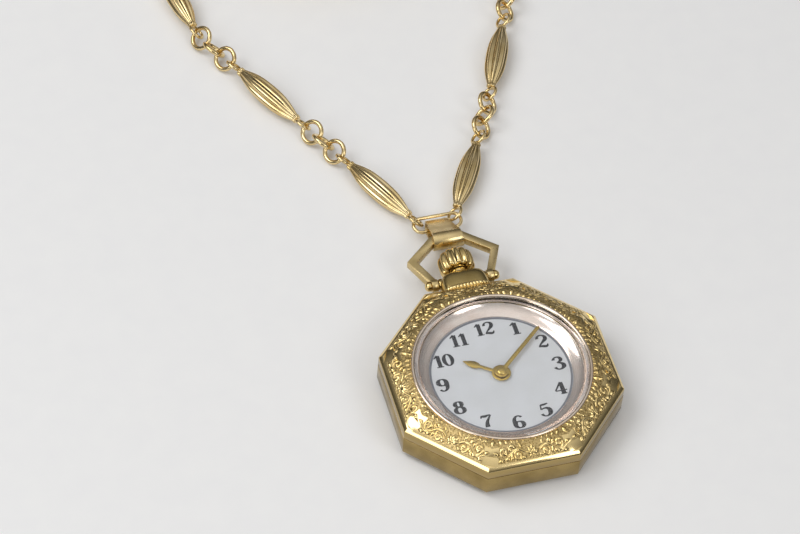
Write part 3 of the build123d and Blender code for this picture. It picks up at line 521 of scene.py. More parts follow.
def wear_group() -> bpy.types.NodeTree:
    """Builds the group that gives handled metal its faint smears and hairlines.

    Returns:
        The group, with inputs Vector, Smear scale and Hairline scale, and outputs Smear and Hairline.
    """
    if "handling wear" in bpy.data.node_groups:
        return bpy.data.node_groups["handling wear"]
    group = bpy.data.node_groups.new("handling wear", "ShaderNodeTree")
    for name, kind in (("Vector", "NodeSocketVector"), ("Smear scale", "NodeSocketFloat"),
                       ("Hairline scale", "NodeSocketFloat")):
        group.interface.new_socket(name, in_out="INPUT", socket_type=kind)
    for name in ("Smear", "Hairline"):
        group.interface.new_socket(name, in_out="OUTPUT", socket_type="NodeSocketFloat")
    shader = Shader(group)
    source, sink = group.nodes.new("NodeGroupInput"), group.nodes.new("NodeGroupOutput")
    vector = source.outputs["Vector"]
    smear = shader.noise(vector, source.outputs["Smear scale"], 4)
    hairline = shader.noise(shader.stretched(vector, (1, 14, 6)), source.outputs["Hairline scale"], 2)
    shader.link(smear, sink.inputs["Smear"])
    shader.link(hairline, sink.inputs["Hairline"])
    return group


class Coat(Shader):
    """The nodes of a material: its surface, and the place on the piece that its textures read."""

    def __init__(self, material: bpy.types.Material) -> None:
        """Starts on a new material.

        Args:
            material: The material.
        """
        material.use_nodes = True
        super().__init__(material.node_tree)
        self.surface = self.tree.nodes["Principled BSDF"]
        self.place = self.add("TexCoord").outputs["Object"]

    def give(self, name: str, value: float | Colour | Socket) -> None:
        """Gives the surface's socket of a name its value."""
        self.feed(self.surface.inputs[name], value)

    def wear(self, smear_scale: float = 420, hairline_scale: float = 900) -> tuple[Socket, Socket]:
        """Adds the handling wear.

        Args:
            smear_scale: The scale of its smears, for metres.
            hairline_scale: The scale of its hairlines, for metres.

        Returns:
            The smears and the hairlines.
        """
        node = self.add("Group", node_tree=wear_group())
        self.link(self.place, node.inputs["Vector"])
        node.inputs["Smear scale"].default_value = smear_scale
        node.inputs["Hairline scale"].default_value = hairline_scale
        return node.outputs["Smear"], node.outputs["Hairline"]

    def dots(self, scale: float) -> Socket:
        """Adds the round cells of a stippled ground.

        Args:
            scale: Their scale, for metres.

        Returns:
            The distance from each cell's middle.
        """
        node = self.add("TexVoronoi")
        node.inputs["Scale"].default_value = scale
        self.link(self.place, node.inputs["Vector"])
        return node.outputs["Distance"]

    def bump(self, height: Socket, distance: float, strength: float) -> None:
        """Gives the surface a fine relief.

        Args:
            height: The relief's pattern.
            distance: How high it stands, in metres.
            strength: How much of it shows.
        """
        node = self.add("Bump")
        node.inputs["Distance"].default_value = distance
        node.inputs["Strength"].default_value = strength
        self.link(height, node.inputs["Height"])
        self.give("Normal", node.outputs["Normal"])


class Grain(Enum):
    """How a metal surface was finished, by how much its relief shows."""

    MIRROR = 0.12
    SATIN = 0.5
    STIPPLED = 0.9


@dataclass(frozen=True)
class Finish(ABC):
    """A surface whose material is built once and found by its name."""

    name: str

    def material(self) -> bpy.types.Material:
        """Builds the material, or finds it where it is built already.

        Returns:
            The material.
        """
        if self.name in bpy.data.materials:
            return bpy.data.materials[self.name]
        material = bpy.data.materials.new(self.name)
        self.lay(Coat(material))
        return material

    @abstractmethod
    def lay(self, coat: Coat) -> None:
        """Lays the finish's own nodes.

        Args:
            coat: The material's nodes.
        """


@dataclass(frozen=True)
class Metal(Finish):
    """A metal finish."""

    bright: Colour
    deep: Colour
    roughness: float
    grain: Grain = Grain.MIRROR
    relief: float = 0.02 * MM
    dot_scale: float = 5200
    duller: float = 1.25
    glossier: float = 0.8

    def lay(self, coat: Coat) -> None:
        """Lays smears over the colour and the gloss, and the grain as relief.

        Args:
            coat: The material's nodes.
        """
        smear, hairline = coat.wear()
        coat.give("Metallic", 1.0)
        coat.give("Base Color", coat.blend(coat.span(smear, 0, 1), self.deep, self.bright))
        coat.give("Roughness", coat.span(smear, self.roughness * self.duller, self.roughness * self.glossier))
        pattern = coat.dots(self.dot_scale) if self.grain is Grain.STIPPLED else hairline
        coat.bump(pattern, self.relief, self.grain.value)


@dataclass(frozen=True)
class EngravedGold(Finish):
    """Bright gold with a stippled ground on the bezel's eight slopes, between plain corners and rims; the ground
    carries painted shade, darkest in its pits.
    """

    bright: Colour
    # deep is the painted shade on the stippled ground.
    deep: Colour
    # side is the band's painted dark reflection, which the bezel's lower side fades into.
    side: Colour
    low: float
    high: float
    corner_half_width: float
    corner_radius: float
    dot_scale: float = 4600
    dot_band: tuple[float, float] = (0.1, 0.6)
    # How much painted shade the ground gets, from a stipple pit's middle to its edge.
    dot_darkness: tuple[float, float] = (1.0, 0.45)
    relief: float = 0.06 * MM
    ground_roughness: float = 0.22
    plain_roughness: tuple[float, float] = (0.16, 0.10)
    side_drop: float = 0.30 * MM
    side_fade: float = 0.25 * MM

    def lay(self, coat: Coat) -> None:
        """Marks off the ground by height and by the turn from each side's middle, stipples it and paints shade into
        it, darkest in the pits.

        Args:
            coat: The material's nodes.
        """
        parts = coat.add("SeparateXYZ")
        coat.link(coat.place, parts.inputs[0])
        above = coat.maths("GREATER_THAN", parts.outputs["Z"], self.low)
        below = coat.maths("LESS_THAN", parts.outputs["Z"], self.high)
        turn = coat.maths("ARCTAN2", parts.outputs["Y"], parts.outputs["X"])
        from_side = coat.maths("PINGPONG", turn, EIGHTH_TURN / 2)
        limit = EIGHTH_TURN / 2 - self.corner_half_width / self.corner_radius
        inside = coat.maths("LESS_THAN", from_side, limit)
        slope = coat.maths("MULTIPLY", coat.maths("MULTIPLY", above, below), inside)
        ground = coat.maths("MAXIMUM", slope, coat.maths("SUBTRACT", 1.0, below))
        smear, _ = coat.wear()
        dots = coat.dots(self.dot_scale)
        # Painted shade: the ground turns to the deep colour, most in the middle of each stipple pit.
        pit_shade = coat.maths("MULTIPLY", ground, coat.span(dots, *self.dot_darkness, *self.dot_band))
        # Painted dark reflection: below the ground, the bezel's side fades into the band's darker gold.
        painted_dark_side_top = self.low - self.side_drop
        edge = coat.span(parts.outputs["Z"], 0.0, 1.0, painted_dark_side_top - self.side_fade, painted_dark_side_top)
        coat.give("Metallic", 1.0)
        coat.give("Base Color", coat.blend(pit_shade, coat.blend(edge, self.side, self.bright), self.deep))
        rough = coat.maths("MULTIPLY", ground, self.ground_roughness)
        coat.give("Roughness", coat.maths("ADD", coat.span(smear, *self.plain_roughness), rough))
        coat.bump(coat.maths("MULTIPLY", ground, dots), self.relief, Grain.STIPPLED.value)


@dataclass(frozen=True)
class Paint(Finish):
    """A painted or plated non-metal finish with a fine grain."""

    colour: Colour
    shade: Colour
    roughness: float
    metallic: float = 0.0
    grain_scale: float = 9000
    cloud_scale: float = 300
    relief: float = 0.004 * MM
    relief_strength: float = 0.4
    duller: float = 1.15
    glossier: float = 0.85

    def lay(self, coat: Coat) -> None:
        """Lays wide clouds over the colour, and the grain over the gloss and as relief.

        Args:
            coat: The material's nodes.
        """
        grain = coat.noise(coat.place, self.grain_scale)
        cloud = coat.noise(coat.place, self.cloud_scale)
        coat.give("Metallic", self.metallic)
        coat.give("Base Color", coat.blend(coat.span(cloud, 0, 1), self.shade, self.colour))
        coat.give("Roughness", coat.span(grain, self.roughness * self.glossier, self.roughness * self.duller))
        coat.bump(grain, self.relief, self.relief_strength)


@dataclass(frozen=True)
class Glass(Finish):
    """Clear watch glass that lets the light through to the dial."""

    tint: Colour
    refraction: float = 1.46
    smear_scale: float = 260
    smear_roughness: float = 0.015
    shadow_clearness: float = 0.93

    def lay(self, coat: Coat) -> None:
        """Makes the surface clear, faintly smeared and light in its shadow.

        Args:
            coat: The material's nodes.
        """
        coat.give("Transmission Weight", 1.0)
        coat.give("IOR", self.refraction)
        coat.give("Base Color", self.tint)
        smear = coat.noise(coat.place, self.smear_scale)
        coat.give("Roughness", coat.span(smear, 0.0, self.smear_roughness))
        shadow = coat.add("LightPath").outputs["Is Shadow Ray"]
        coat.give("Alpha", coat.maths("SUBTRACT", 1.0, coat.maths("MULTIPLY", shadow, self.shadow_clearness)))


class Finishes:
    """Every finish on the watch, and which one the plain solids of each slot get."""

    bright_gold = Metal("polished gold", (0.90, 0.70, 0.34), (0.70, 0.51, 0.20), 0.14)
    # The band, the back and the bezel's lower side get a darker gold: a painted dark reflection.
    band_gold = Metal("band gold", (0.44, 0.32, 0.13), (0.28, 0.20, 0.075), 0.18)
    # The neck gets a darker gold: painted shade.
    neck_gold = Metal("neck gold", (0.62, 0.47, 0.20), (0.44, 0.32, 0.12), 0.20)
    satin_gold = Metal("satin gold", (0.80, 0.63, 0.33), (0.58, 0.44, 0.20), 0.27, Grain.SATIN)
    chain_gold = Metal("chain gold", (0.92, 0.74, 0.42), (0.68, 0.50, 0.22), 0.15)
    hand_gold = Metal("hand gold", (0.72, 0.52, 0.16), (0.55, 0.38, 0.10), 0.22)
    lip_metal = Metal("rim metal", (0.92, 0.79, 0.66), (0.84, 0.68, 0.53), 0.12)
    reflector = Metal("reflector metal", (0.94, 0.83, 0.76), (0.85, 0.70, 0.62), 0.16)
    steel = Metal("movement steel", (0.72, 0.73, 0.75), (0.55, 0.56, 0.58), 0.22, Grain.SATIN)
    movement_brass = Metal("movement brass", (0.86, 0.72, 0.42), (0.74, 0.58, 0.30), 0.32, Grain.STIPPLED)
    blued_steel = Metal("blued steel", (0.12, 0.20, 0.55), (0.06, 0.10, 0.32), 0.18)
    dial = Paint("silvered dial", (0.60, 0.605, 0.63), (0.56, 0.565, 0.58), 0.42, 0.12)
    ink = Paint("numeral enamel", (0.012, 0.012, 0.016), (0.02, 0.02, 0.026), 0.28)
    glass = Glass("crystal glass", (0.97, 0.985, 0.99))
    # Grey for the painted shadow round the dial's edge.
    track = Paint("painted rim shadow grey", (0.13, 0.135, 0.16), (0.17, 0.175, 0.20), 0.45)

    by_slot: dict[str, Finish] = {
        "gilt": bright_gold, "dial": dial, "bright_steel": steel, "hands": hand_gold,
        "movement_brass": movement_brass, "blue_spring": blued_steel,
    }


def dress(piece: Piece, finish: Finish) -> None:
    """Gives a piece one finish all over."""
    piece.data.materials.clear()
    piece.data.materials.append(finish.material())


def finish_piece(piece: Piece, body: str, finish: Finish, replaced: tuple[str, ...] = ()) -> Piece:
    """Dresses a piece and lets it ride.

    Args:
        piece: The piece.
        body: The body that it moves with.
        finish: Its finish.
        replaced: The nodes that it stands for.

    Returns:
        The same piece.
    """
    dress(piece, finish)
    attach(piece, body)
    if replaced:
        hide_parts(*replaced)
    LOG.info("%s rides on %s", piece.name, body)
    return piece


# The camera, floor and lights


@dataclass(frozen=True)
class Studio:
    """The photograph's view, and a plain pale room of soft light."""

    eye: Point = (-92.82 * MM, -220.17 * MM, 316.16 * MM)
    aim: Point = (-6.83 * MM, 20.95 * MM, 2.22 * MM)
    picture_down: Point = (-0.18625, -0.78118, -0.59587)
    lens: float = 144.3
    floor_size: float = 3.0
    floor_drop: float = 0.02 * MM
    paper: Paint = Paint("pale paper", (0.90, 0.90, 0.90), (0.885, 0.885, 0.89), 0.85, grain_scale=2500)
    lamps: tuple[tuple[str, Point, float, float], ...] = (
        ("key_lamp", (-0.34, 0.16, 0.50), 0.36, 1.15), ("front_lamp", (0.26, -0.40, 0.40), 0.24, 0.55),
        ("left_lamp", (-0.44, -0.24, 0.34), 0.32, 0.80))
    room_tint: Colour = (1.0, 0.99, 0.975)
    horizon_level: float = 0.07
    overhead_level: float = 0.86
    overhead_focus: float = 2.6

    def camera(self) -> None:
        """Sets up the camera where the photograph was taken from, framed on the watch."""
        bpy.ops.object.camera_add(location=self.eye)
        camera = Bench.fresh("photograph_view")
        camera.data.lens = self.lens
        forward = (Vector(self.aim) - Vector(self.eye)).normalized()
        right = forward.cross(-Vector(self.picture_down)).normalized()
        up = right.cross(forward)
        turn = Matrix((right, up, -forward)).transposed()
        camera.matrix_world = Matrix.LocRotScale(Vector(self.eye), turn, None)
        bpy.context.scene.camera = camera

    def floor(self) -> None:
        """Lays the pale floor."""
        Bench.clear()
        bpy.ops.mesh.primitive_plane_add(size=self.floor_size, location=(0, 0, -self.floor_drop))
        floor = Bench.settle(Bench.fresh("floor"))
        dress(floor, self.paper)

    def lamp(self, name: str, place: Point, size: float, power: float) -> None:
        """Hangs a square soft lamp that faces the watch.

        Args:
            name: Its name.
            place: Where it hangs.
            size: The length of its side.
            power: Its power in watts.
        """
        bpy.ops.object.light_add(type="AREA", location=place)
        lamp = Bench.fresh(name)
        lamp.data.shape = "SQUARE"
        lamp.data.size = size
        lamp.data.energy = power
        lamp.rotation_euler = (Vector(place) - Vector(self.aim)).to_track_quat("Z", "Y").to_euler()

    def room(self) -> None:
        """Sets the room's light: bright overhead and dimmer towards the horizon."""
        world = bpy.data.worlds.new("soft room")
        bpy.context.scene.world = world
        world.use_nodes = True
        shader = Shader(world.node_tree)
        parts = shader.add("SeparateXYZ")
        shader.link(shader.add("TexCoord").outputs["Generated"], parts.inputs[0])
        height = shader.maths("MAXIMUM", parts.outputs["Z"], 0.0)
        level = shader.maths("MULTIPLY_ADD", shader.maths("POWER", height, self.overhead_focus),
                             self.overhead_level, self.horizon_level)
        background = world.node_tree.nodes["Background"]
        background.inputs["Color"].default_value = (*self.room_tint, 1)
        shader.link(level, background.inputs["Strength"])

    def build(self) -> None:
        """Sets up the whole studio."""
        self.camera()
        self.floor()
        self.room()
        for lamp in self.lamps:
            self.lamp(*lamp)
        bpy.context.scene.view_settings.view_transform = "Standard"


# The necklace


class Detail(Enum):
    """How finely links are modelled.

    Each detail holds the steps round a ring and its wire, round an eye and its wire, and a spindle's levels of
    rounding.
    """

    SHOWN = ((32, 14), (28, 12), 2)
    PUT_AWAY = ((20, 8), (18, 8), 1)


@dataclass(frozen=True)
class LinkShop:
    """The chain's two kinds of link: round wire rings, and fluted spindles with an eye at each end."""

    ring_radius: float = 1.42 * MM
    ring_wire: float = 0.30 * MM
    eye_radius: float = 1.04 * MM
    eye_wire: float = 0.21 * MM
    spindle_length: float = 13.60 * MM
    spindle_radius: float = 1.50 * MM
    flutes: int = 8
    fluting: tuple[float, ...] = (1, 0.95, 0.72, 0.95)
    joint_waist: Point = (0.93, 1, 0.86)
    profile_shares: Profile = (
        (0.36, -0.5), (0.42, -0.485), (0.42, -0.46), (0.36, -0.45), (0.68, -0.34), (0.94, -0.20), (1.0, 0.0),
        (0.94, 0.20), (0.68, 0.34), (0.36, 0.45), (0.42, 0.46), (0.42, 0.485), (0.36, 0.5))

    def ring(self, radius: float, wire: float, steps: tuple[int, int]) -> Piece:
        """Models a ring of wire in the XY plane, with the faint waist of its soldered joint.

        Args:
            radius: From its middle to the middle of the wire.
            wire: Half the wire's thickness.
            steps: The steps round the ring and round the wire.

        Returns:
            The ring.
        """
        Bench.clear()
        around, across = steps
        bpy.ops.mesh.primitive_torus_add(major_radius=radius, minor_radius=wire, major_segments=around,
                                         minor_segments=across)
        ring = Bench.fresh("ring model")
        with Bench.editing(ring):
            Bench.choose(ring, lambda co: co.x > 0 and abs(co.y) < radius * math.pi / around)
            bpy.ops.transform.resize(value=self.joint_waist, center_override=(radius, 0, 0))
        return Bench.smooth(ring, ROUND_ANGLE)

    def spindle(self, eye_steps: tuple[int, int], levels: int) -> Piece:
        """Models a fluted spindle along X, with its eyes in the XY plane.

        Args:
            eye_steps: The steps round an eye and round its wire.
            levels: How finely the body is rounded.

        Returns:
            The spindle.
        """
        body_length = self.spindle_length - 2 * self.eye_radius
        profile = scaled(self.profile_shares, self.spindle_radius, 0, body_length)
        body = Bench.turned("spindle model", profile, self.flutes * len(self.fluting), self.fluting)
        Bench.place(body, ALONG_X)
        Bench.modify(body, "SUBSURF", levels=levels, render_levels=levels)
        ends = [Matrix.Translation((side * self.spindle_length / 2, 0, 0)) for side in (-1, 1)]
        eyes = Bench.repeat(self.ring(self.eye_radius, self.eye_wire, eye_steps), ends, "eyes")
        return Bench.smooth(Bench.join([body, eyes], "spindle model"), FLUTE_ANGLE)

    def models(self, detail: Detail) -> tuple[Piece, Piece]:
        """Models a ring and a spindle, for the chain to be copied from.

        Args:
            detail: How finely.

        Returns:
            The ring and the spindle.
        """
        ring_steps, eye_steps, levels = detail.value
        return self.ring(self.ring_radius, self.ring_wire, ring_steps), self.spindle(eye_steps, levels)


@dataclass(frozen=True)
class PendantRing:
    """The oval wire ring that both strands hang from."""

    length: float = 6.30 * MM
    half_width: float = 1.067 * MM
    wire: float = 0.23 * MM
    steps: int = 48
    wire_steps: int = 14

    def build(self) -> None:
        """Bends the ring and puts it where its solid is."""
        Bench.clear()
        bpy.ops.mesh.primitive_torus_add(major_radius=self.half_width, minor_radius=self.wire,
                                         major_segments=self.steps, minor_segments=self.wire_steps)
        ring = Bench.fresh("pendant_ring_wire")
        with Bench.editing(ring):
            for side in (-1, 1):
                Bench.choose(ring, lambda co: co.x * side > WELD)
                bpy.ops.transform.translate(value=(side * (self.length / 2 - self.half_width), 0, 0))
        Bench.smooth(Bench.place(ring, Strand.seat("pendant_ring")), ROUND_ANGLE)
        finish_piece(ring, "pendant_ring_body", Finishes.chain_gold, ("pendant_ring",))


@dataclass(frozen=True)
class Strand:
    """The links of one side of the necklace that show, each in the place of its solid."""

    side: str
    shop: LinkShop

    @staticmethod
    def seat(node: str) -> Matrix:
        """Reads a link's place from its solid: X along its length or across the ring, Z square to its flat.

        Args:
            node: The link's node.

        Returns:
            The link's frame.
        """
        mesh = frame["nodes"][node].data
        places = np.unique(np.round([vertex.co[:] for vertex in mesh.vertices], 7), axis=0)
        low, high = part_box(node)
        _, axes = np.linalg.eigh(np.cov((places - places.mean(0)).T))
        along, across = Vector(axes[:, 2]), Vector(axes[:, 1])
        turn = Matrix((along, across, along.cross(across))).transposed()
        return Matrix.LocRotScale((low + high) / 2, turn, None)

    def build(self) -> None:
        """Makes this side's rings and spindles."""
        ring, spindle = self.shop.models(Detail.SHOWN)
        for node in sorted(frame["nodes"]):
            if node.startswith(self.side) and not node.endswith("tail"):
                link = Bench.copy(spindle if "spindle" in node else ring, f"{node}_link", self.seat(node))
                finish_piece(link, f"{node}_body", Finishes.chain_gold, (node,))
        Bench.discard(ring, spindle)


class Route:
    """A smooth line that links are strung on."""

    def __init__(self, places: list[Vector]) -> None:
        """Measures the line from point to point.

        Args:
            places: Its points.
        """
        self.places = places
        self.lengths = [0.0]
        for before, after in zip(places, places[1:]):
            self.lengths.append(self.lengths[-1] + (after - before).length)

    def spot(self, reach: float) -> Vector:
        """Finds the point at a length along the line.

        Args:
            reach: The length.

        Returns:
            The point.
        """
        number = min(max(int(np.searchsorted(self.lengths, reach)), 1), len(self.places) - 1)
        before, after = self.lengths[number - 1:number + 1]
        return self.places[number - 1].lerp(self.places[number], (reach - before) / (after - before))

    def seat(self, start: float, end: float, roll: float) -> Matrix:
        """Frames a link between two lengths along the line.

        Args:
            start: The length where it starts.
            end: The length where it ends.
            roll: Its turn about the line, in degrees.

        Returns:
            The link's frame.
        """
        first, last = self.spot(start), self.spot(end)
        along = (last - first).normalized()
        across = Vector((-along.y, along.x, 0)).normalized()
        turn = math.radians(roll)
        normal = across * -math.sin(turn) + along.cross(across) * math.cos(turn)
        axes = Matrix((along, normal.cross(along), normal)).transposed()
        return Matrix.LocRotScale((first + last) / 2, axes, None)


@dataclass(frozen=True)
class PutAwayChain:
    """The rest of the necklace, laid in a coil of two layers behind the part that shows."""

    shop: LinkShop
    left_tail: tuple[Point, ...] = (
        (-21.671 * MM, 64.9 * MM, 1.45 * MM), (-23.16 * MM, 69.80 * MM, 1.45 * MM),
        (-24.0 * MM, 78.36 * MM, 1.45 * MM), (-26.0 * MM, 86.93 * MM, 1.45 * MM),
        (-26.0 * MM, 95.45 * MM, 1.45 * MM))
    right_tail: tuple[Point, ...] = (
        (29.0 * MM, 95.45 * MM, 5.05 * MM), (29.0 * MM, 87.02 * MM, 5.05 * MM), (24.0 * MM, 78.53 * MM, 1.45 * MM),
        (23.16 * MM, 70.05 * MM, 1.45 * MM), (21.009 * MM, 65.196 * MM, 1.45 * MM))
    coil_place: tuple[float, float] = (0.0, 95.5 * MM)
    coil_radius: float = 26.0 * MM
    coil_pitch: float = 4.40 * MM
    layer_rise: float = 3.60 * MM
    turns: int = 2
    climb_room: float = 3.00 * MM
    height: float = 1.45 * MM
    points_a_half_turn: int = 6
    corner_cut: float = 0.966
    diameter: float = 2.90 * MM
    first_ring: float = 0.11 * MM
    ring_step: float = 2.19 * MM
    eye_step: float = 1.79 * MM
    roll: float = 45.0
    rings_between: int = 3
    fineness: int = 12

    def ends(self) -> list[tuple[float, float]]:
        """Works out where each half turn of the coil ends.

        Returns:
            The place along X and the height of each end, the first one included.
        """
        lower = [side * (self.coil_radius - self.coil_pitch * turn) for turn in range(self.turns) for side in (-1, 1)]
        inner = lower[-1]
        places = list(lower)
        for turn in range(self.turns):
            out = self.coil_pitch * turn
            places += [self.coil_pitch - inner - out, inner + self.climb_room + out]
        heights = [self.height + (self.layer_rise if i >= len(lower) else 0) for i in range(len(places))]
        return list(zip(places, heights))

    def control_points(self) -> list[Point]:
        """Lists the route's points: the left tail, the coil's turns and the right tail.

        Returns:
            The points.
        """
        points = list(self.left_tail)
        ends = self.ends()
        for number, ((start, low), (end, high)) in enumerate(zip(ends, ends[1:])):
            side = 1 if number % 2 == 0 else -1
            for i in range(self.points_a_half_turn):
                turn = math.pi * (i + 0.5) / self.points_a_half_turn
                along = -math.cos(turn)
                points.append((self.coil_place[0] + (start + end) / 2 + (end - start) / 2 * along / self.corner_cut,
                               self.coil_place[1] + side * abs(end - start) / 2 * math.sin(turn) / self.corner_cut,
                               (low + high) / 2 + (high - low) / 2 * along))
        return points + list(self.right_tail)

    def line(self) -> list[Vector]:
        """Draws the route as one smooth spline and reads its points.

        Returns:
            Points along the route.
        """
        curve = bpy.data.curves.new("chain route", "CURVE")
        curve.dimensions = "3D"
        Bench.spline(curve, "NURBS", self.control_points(), self.fineness)
        holder = bpy.data.objects.new("chain route", curve)
        bpy.context.scene.collection.objects.link(holder)
        bpy.context.view_layer.update()
        mesh = bpy.data.meshes.new_from_object(holder.evaluated_get(bpy.context.evaluated_depsgraph_get()))
        places = [vertex.co.copy() for vertex in mesh.vertices]
        Bench.discard(holder)
        return places

    def string(self, route: Route) -> list[Piece]:
        """Strings rings and spindles along a route, with its slack shared out between them.

        Args:
            route: The route.

        Returns:
            The links.
        """
        total = route.lengths[-1]
        ring, spindle = self.shop.models(Detail.PUT_AWAY)
        period = self.shop.spindle_length + 2 * self.eye_step + 2 * self.ring_step
        run = total - 2 * self.first_ring + 2 * self.ring_step
        count = round(run / period)
        slack = (run - count * period) / (4 * count - 2)
        half_ring = self.shop.ring_radius / 2
        links = [Bench.copy(ring, "link", route.seat(0, 2 * half_ring, -self.roll))]
        reach, roll = self.first_ring, self.roll
        for number in range(count):
            start = reach + self.eye_step + slack
            end = start + self.shop.spindle_length
            links.append(Bench.copy(spindle, "link", route.seat(start, end, roll)))
            reach = end + self.eye_step + slack
            rings = self.rings_between if number < count - 1 else 1
            for step in range(rings):
                roll = -roll
                seat = route.seat(reach - half_ring, min(reach + half_ring, total), roll)
                links.append(Bench.copy(ring, "link", seat))
                if step < rings - 1:
                    reach += self.ring_step + slack
            roll = -roll
        Bench.discard(ring, spindle)
        LOG.info("the put-away chain is %.1f mm long, with %d spindles and %.3f mm of slack a joint",
                 total / MM, count, slack / MM)
        return links

    def build(self) -> None:
        route = Route(self.line())
        chain = Bench.smooth(Bench.join(self.string(route), "put_away_chain"), FLUTE_ANGLE)
        finish_piece(chain, "case", Finishes.chain_gold, ("necklace_coil", "left_tail", "right_tail"))


# The case


@dataclass(frozen=True)
class SoftenedSolid:
    """A solid copied with the small rounded edges that polishing leaves."""

    node: str
    body: str
    finish: Finish
    edge: float = 0.06 * MM
    slot: str = "gilt"
    flat_angle: float = 1.0
    corner_angle: float = 28.0

    def build(self) -> Piece:
        """Copies the solid, cleans its mesh and rounds its edges.

        Returns:
            The piece that stands for the node.
        """
        piece = Bench.copy(frame["nodes"][self.node], f"{self.node}_shell", Matrix.Identity(4))
        piece.parent = None
        for key in list(piece.keys()):
            del piece[key]
        with Bench.editing(piece):
            bpy.ops.mesh.select_all(action="SELECT")
            bpy.ops.mesh.customdata_custom_splitnormals_clear()
            bpy.ops.mesh.remove_doubles(threshold=WELD)
            bpy.ops.mesh.dissolve_limited(angle_limit=math.radians(self.flat_angle))
        Bench.modify(piece, "BEVEL", width=self.edge, segments=2, limit_method="ANGLE",
                     angle_limit=math.radians(self.corner_angle), use_clamp_overlap=True, harden_normals=False)
        Bench.smooth(piece)
        return finish_piece(piece, self.body, self.finish, (self.node,))


@dataclass(frozen=True)
class Bezel:
    """The octagonal bezel with scrolls engraved on its eight slopes."""

    edge_flats: float = 27.24 * MM
    top_flats: float = 23.0 * MM
    low: float = 5.25 * MM
    high: float = 6.35 * MM
    corner_half_width: float = 0.95 * MM
    stroke: float = 0.16 * MM
    flatness: float = 0.62
    spread: float = 1.22
    lip_inner: float = 10.74 * MM
    lip_width: float = 0.44 * MM
    lip_height: float = 0.16 * MM
    lip_steps: int = 128
    lip_arc_steps: int = 10
    scroll_steps: int = 14
    scroll_closing: float = 0.82
    scroll_widths: tuple[float, float] = (0.55, 1.45)
    leaf_steps: int = 6
    leaf_point: float = 0.22
    leaf_swell: float = 1.45
    leaf_foot_share: float = 0.1
    leaf_slimness: float = 1.5
    stem_steps: int = 22
    stem_start: float = 0.95
    stem_length: float = 3.45
    stem_sway: float = 0.40
    stem_widths: tuple[float, float] = (0.95, 0.60)
    scrolls: tuple[tuple, ...] = (((1.72, -0.28), 0.60, 100, -1.2), ((3.42, 0.26), 0.60, 260, 1.2))
    leaves: tuple[tuple, ...] = (
        ((1.35, 0.36), 100, 0.70, -75), ((1.95, 0.42), 50, 0.95, -80), ((2.55, 0.05), -100, 0.90, 80),
        ((2.75, -0.25), -40, 0.95, 60), ((2.60, 0.15), 80, 0.75, -40), ((3.60, -0.40), -30, 0.90, 50),
        ((4.15, 0.05), 40, 0.80, -40), ((0.80, -0.45), -25, 0.75, 40))
    flower_foot: tuple[float, float] = (0.0, -0.30)
    petals: Profile = ((18, 0.95), (54, 0.95), (90, 0.95), (126, 0.95), (162, 0.95), (215, 0.60), (325, 0.60))
    border_steps: int = 6
    border_step: float = 0.70
    border_foot_gap: float = 0.02
    border_tip_gap: float = 0.12
    border_fill: float = 0.92
    border_lean: float = 28.0
    border_curl: float = 42.0
    edge: float = 0.07 * MM
    # The stippled ground's dark brown: painted shade in the recesses between the relief.
    ground: Colour = (0.24, 0.145, 0.035)
    ground_above_edge: float = 0.08 * MM
    ground_below_top: float = 0.06 * MM

    def slope(self) -> Matrix:
        """Frames the slope at 3 o'clock.

        Returns:
            Its frame, with X along it, Y up it and Z out of it.
        """
        run = (self.edge_flats - self.top_flats) / 2
        up = Vector((-run, 0, self.high - self.low)).normalized()
        along = Vector((0, 1, 0))
        middle = Vector(((self.edge_flats + self.top_flats) / 4, 0, (self.low + self.high) / 2))
        return Matrix.LocRotScale(middle, Matrix((along, up, along.cross(up))).transposed(), None)

    def scroll(self, centre: tuple[float, float], reach: float, start: float, turns: float) -> list[Point]:
        """Draws a scroll that winds in to its centre.

        Args:
            centre: Where it ends, in millimetres on the panel.
            reach: Its radius at the start.
            start: The angle at which it starts, in degrees.
            turns: How often it goes round, negative for clockwise.

        Returns:
            Its points with a width share each.
        """
        thin, thick = self.scroll_widths
        points = []
        for i in range(self.scroll_steps + 1):
            share = i / self.scroll_steps
            turn = math.radians(start + 360 * turns * share)
            radius = reach * (1 - self.scroll_closing * share)
            points.append((centre[0] + radius * math.cos(turn), centre[1] + radius * math.sin(turn),
                           thin + (thick - thin) * share))
        return points

    def leaf(self, foot: tuple[float, float], heading: float, length: float, curl: float) -> list[Point]:
        """Draws a leaf that swells and ends in a point.

        Args:
            foot: Where it grows from, in millimetres on the panel.
            heading: The direction it sets out in, in degrees.
            length: Its length.
            curl: How far it bends on the way, in degrees.

        Returns:
            Its points with a width share each.
        """
        x, y = foot
        stride = length / self.leaf_steps
        points = []
        for i in range(self.leaf_steps + 1):
            share = i / self.leaf_steps
            grown = min(share * (1 - self.leaf_foot_share) + self.leaf_foot_share, 1)
            swell = math.sin(math.pi * grown) ** self.leaf_slimness
            points.append((x, y, self.leaf_point + self.leaf_swell * length * swell))
            turn = math.radians(heading + curl * share)
            x, y = x + stride * math.cos(turn), y + stride * math.sin(turn)
        return points

    def stem(self) -> list[Point]:
        """Draws the waving stem of one half of a panel.

        Returns:
            Its points with a width share each.
        """
        thick, thin = self.stem_widths
        points = []
        for i in range(self.stem_steps + 1):
            share = i / self.stem_steps
            points.append((self.stem_start + self.stem_length * share,
                           self.stem_sway * math.sin(2 * math.pi * share), thick + (thin - thick) * share))
        return points

    def strokes(self) -> list[list[Point]]:
        """Lists the strokes of one panel.

        Returns:
            Each stroke's points, in millimetres on the panel, with a width share each.
        """
        half = [self.stem()] + [self.scroll(*scroll) for scroll in self.scrolls]
        half += [self.leaf(*leaf) for leaf in self.leaves]
        whole = half + [[(-x, y, width) for x, y, width in stroke] for stroke in half]
        return whole + [self.leaf(self.flower_foot, turn, length, 0) for turn, length in self.petals]

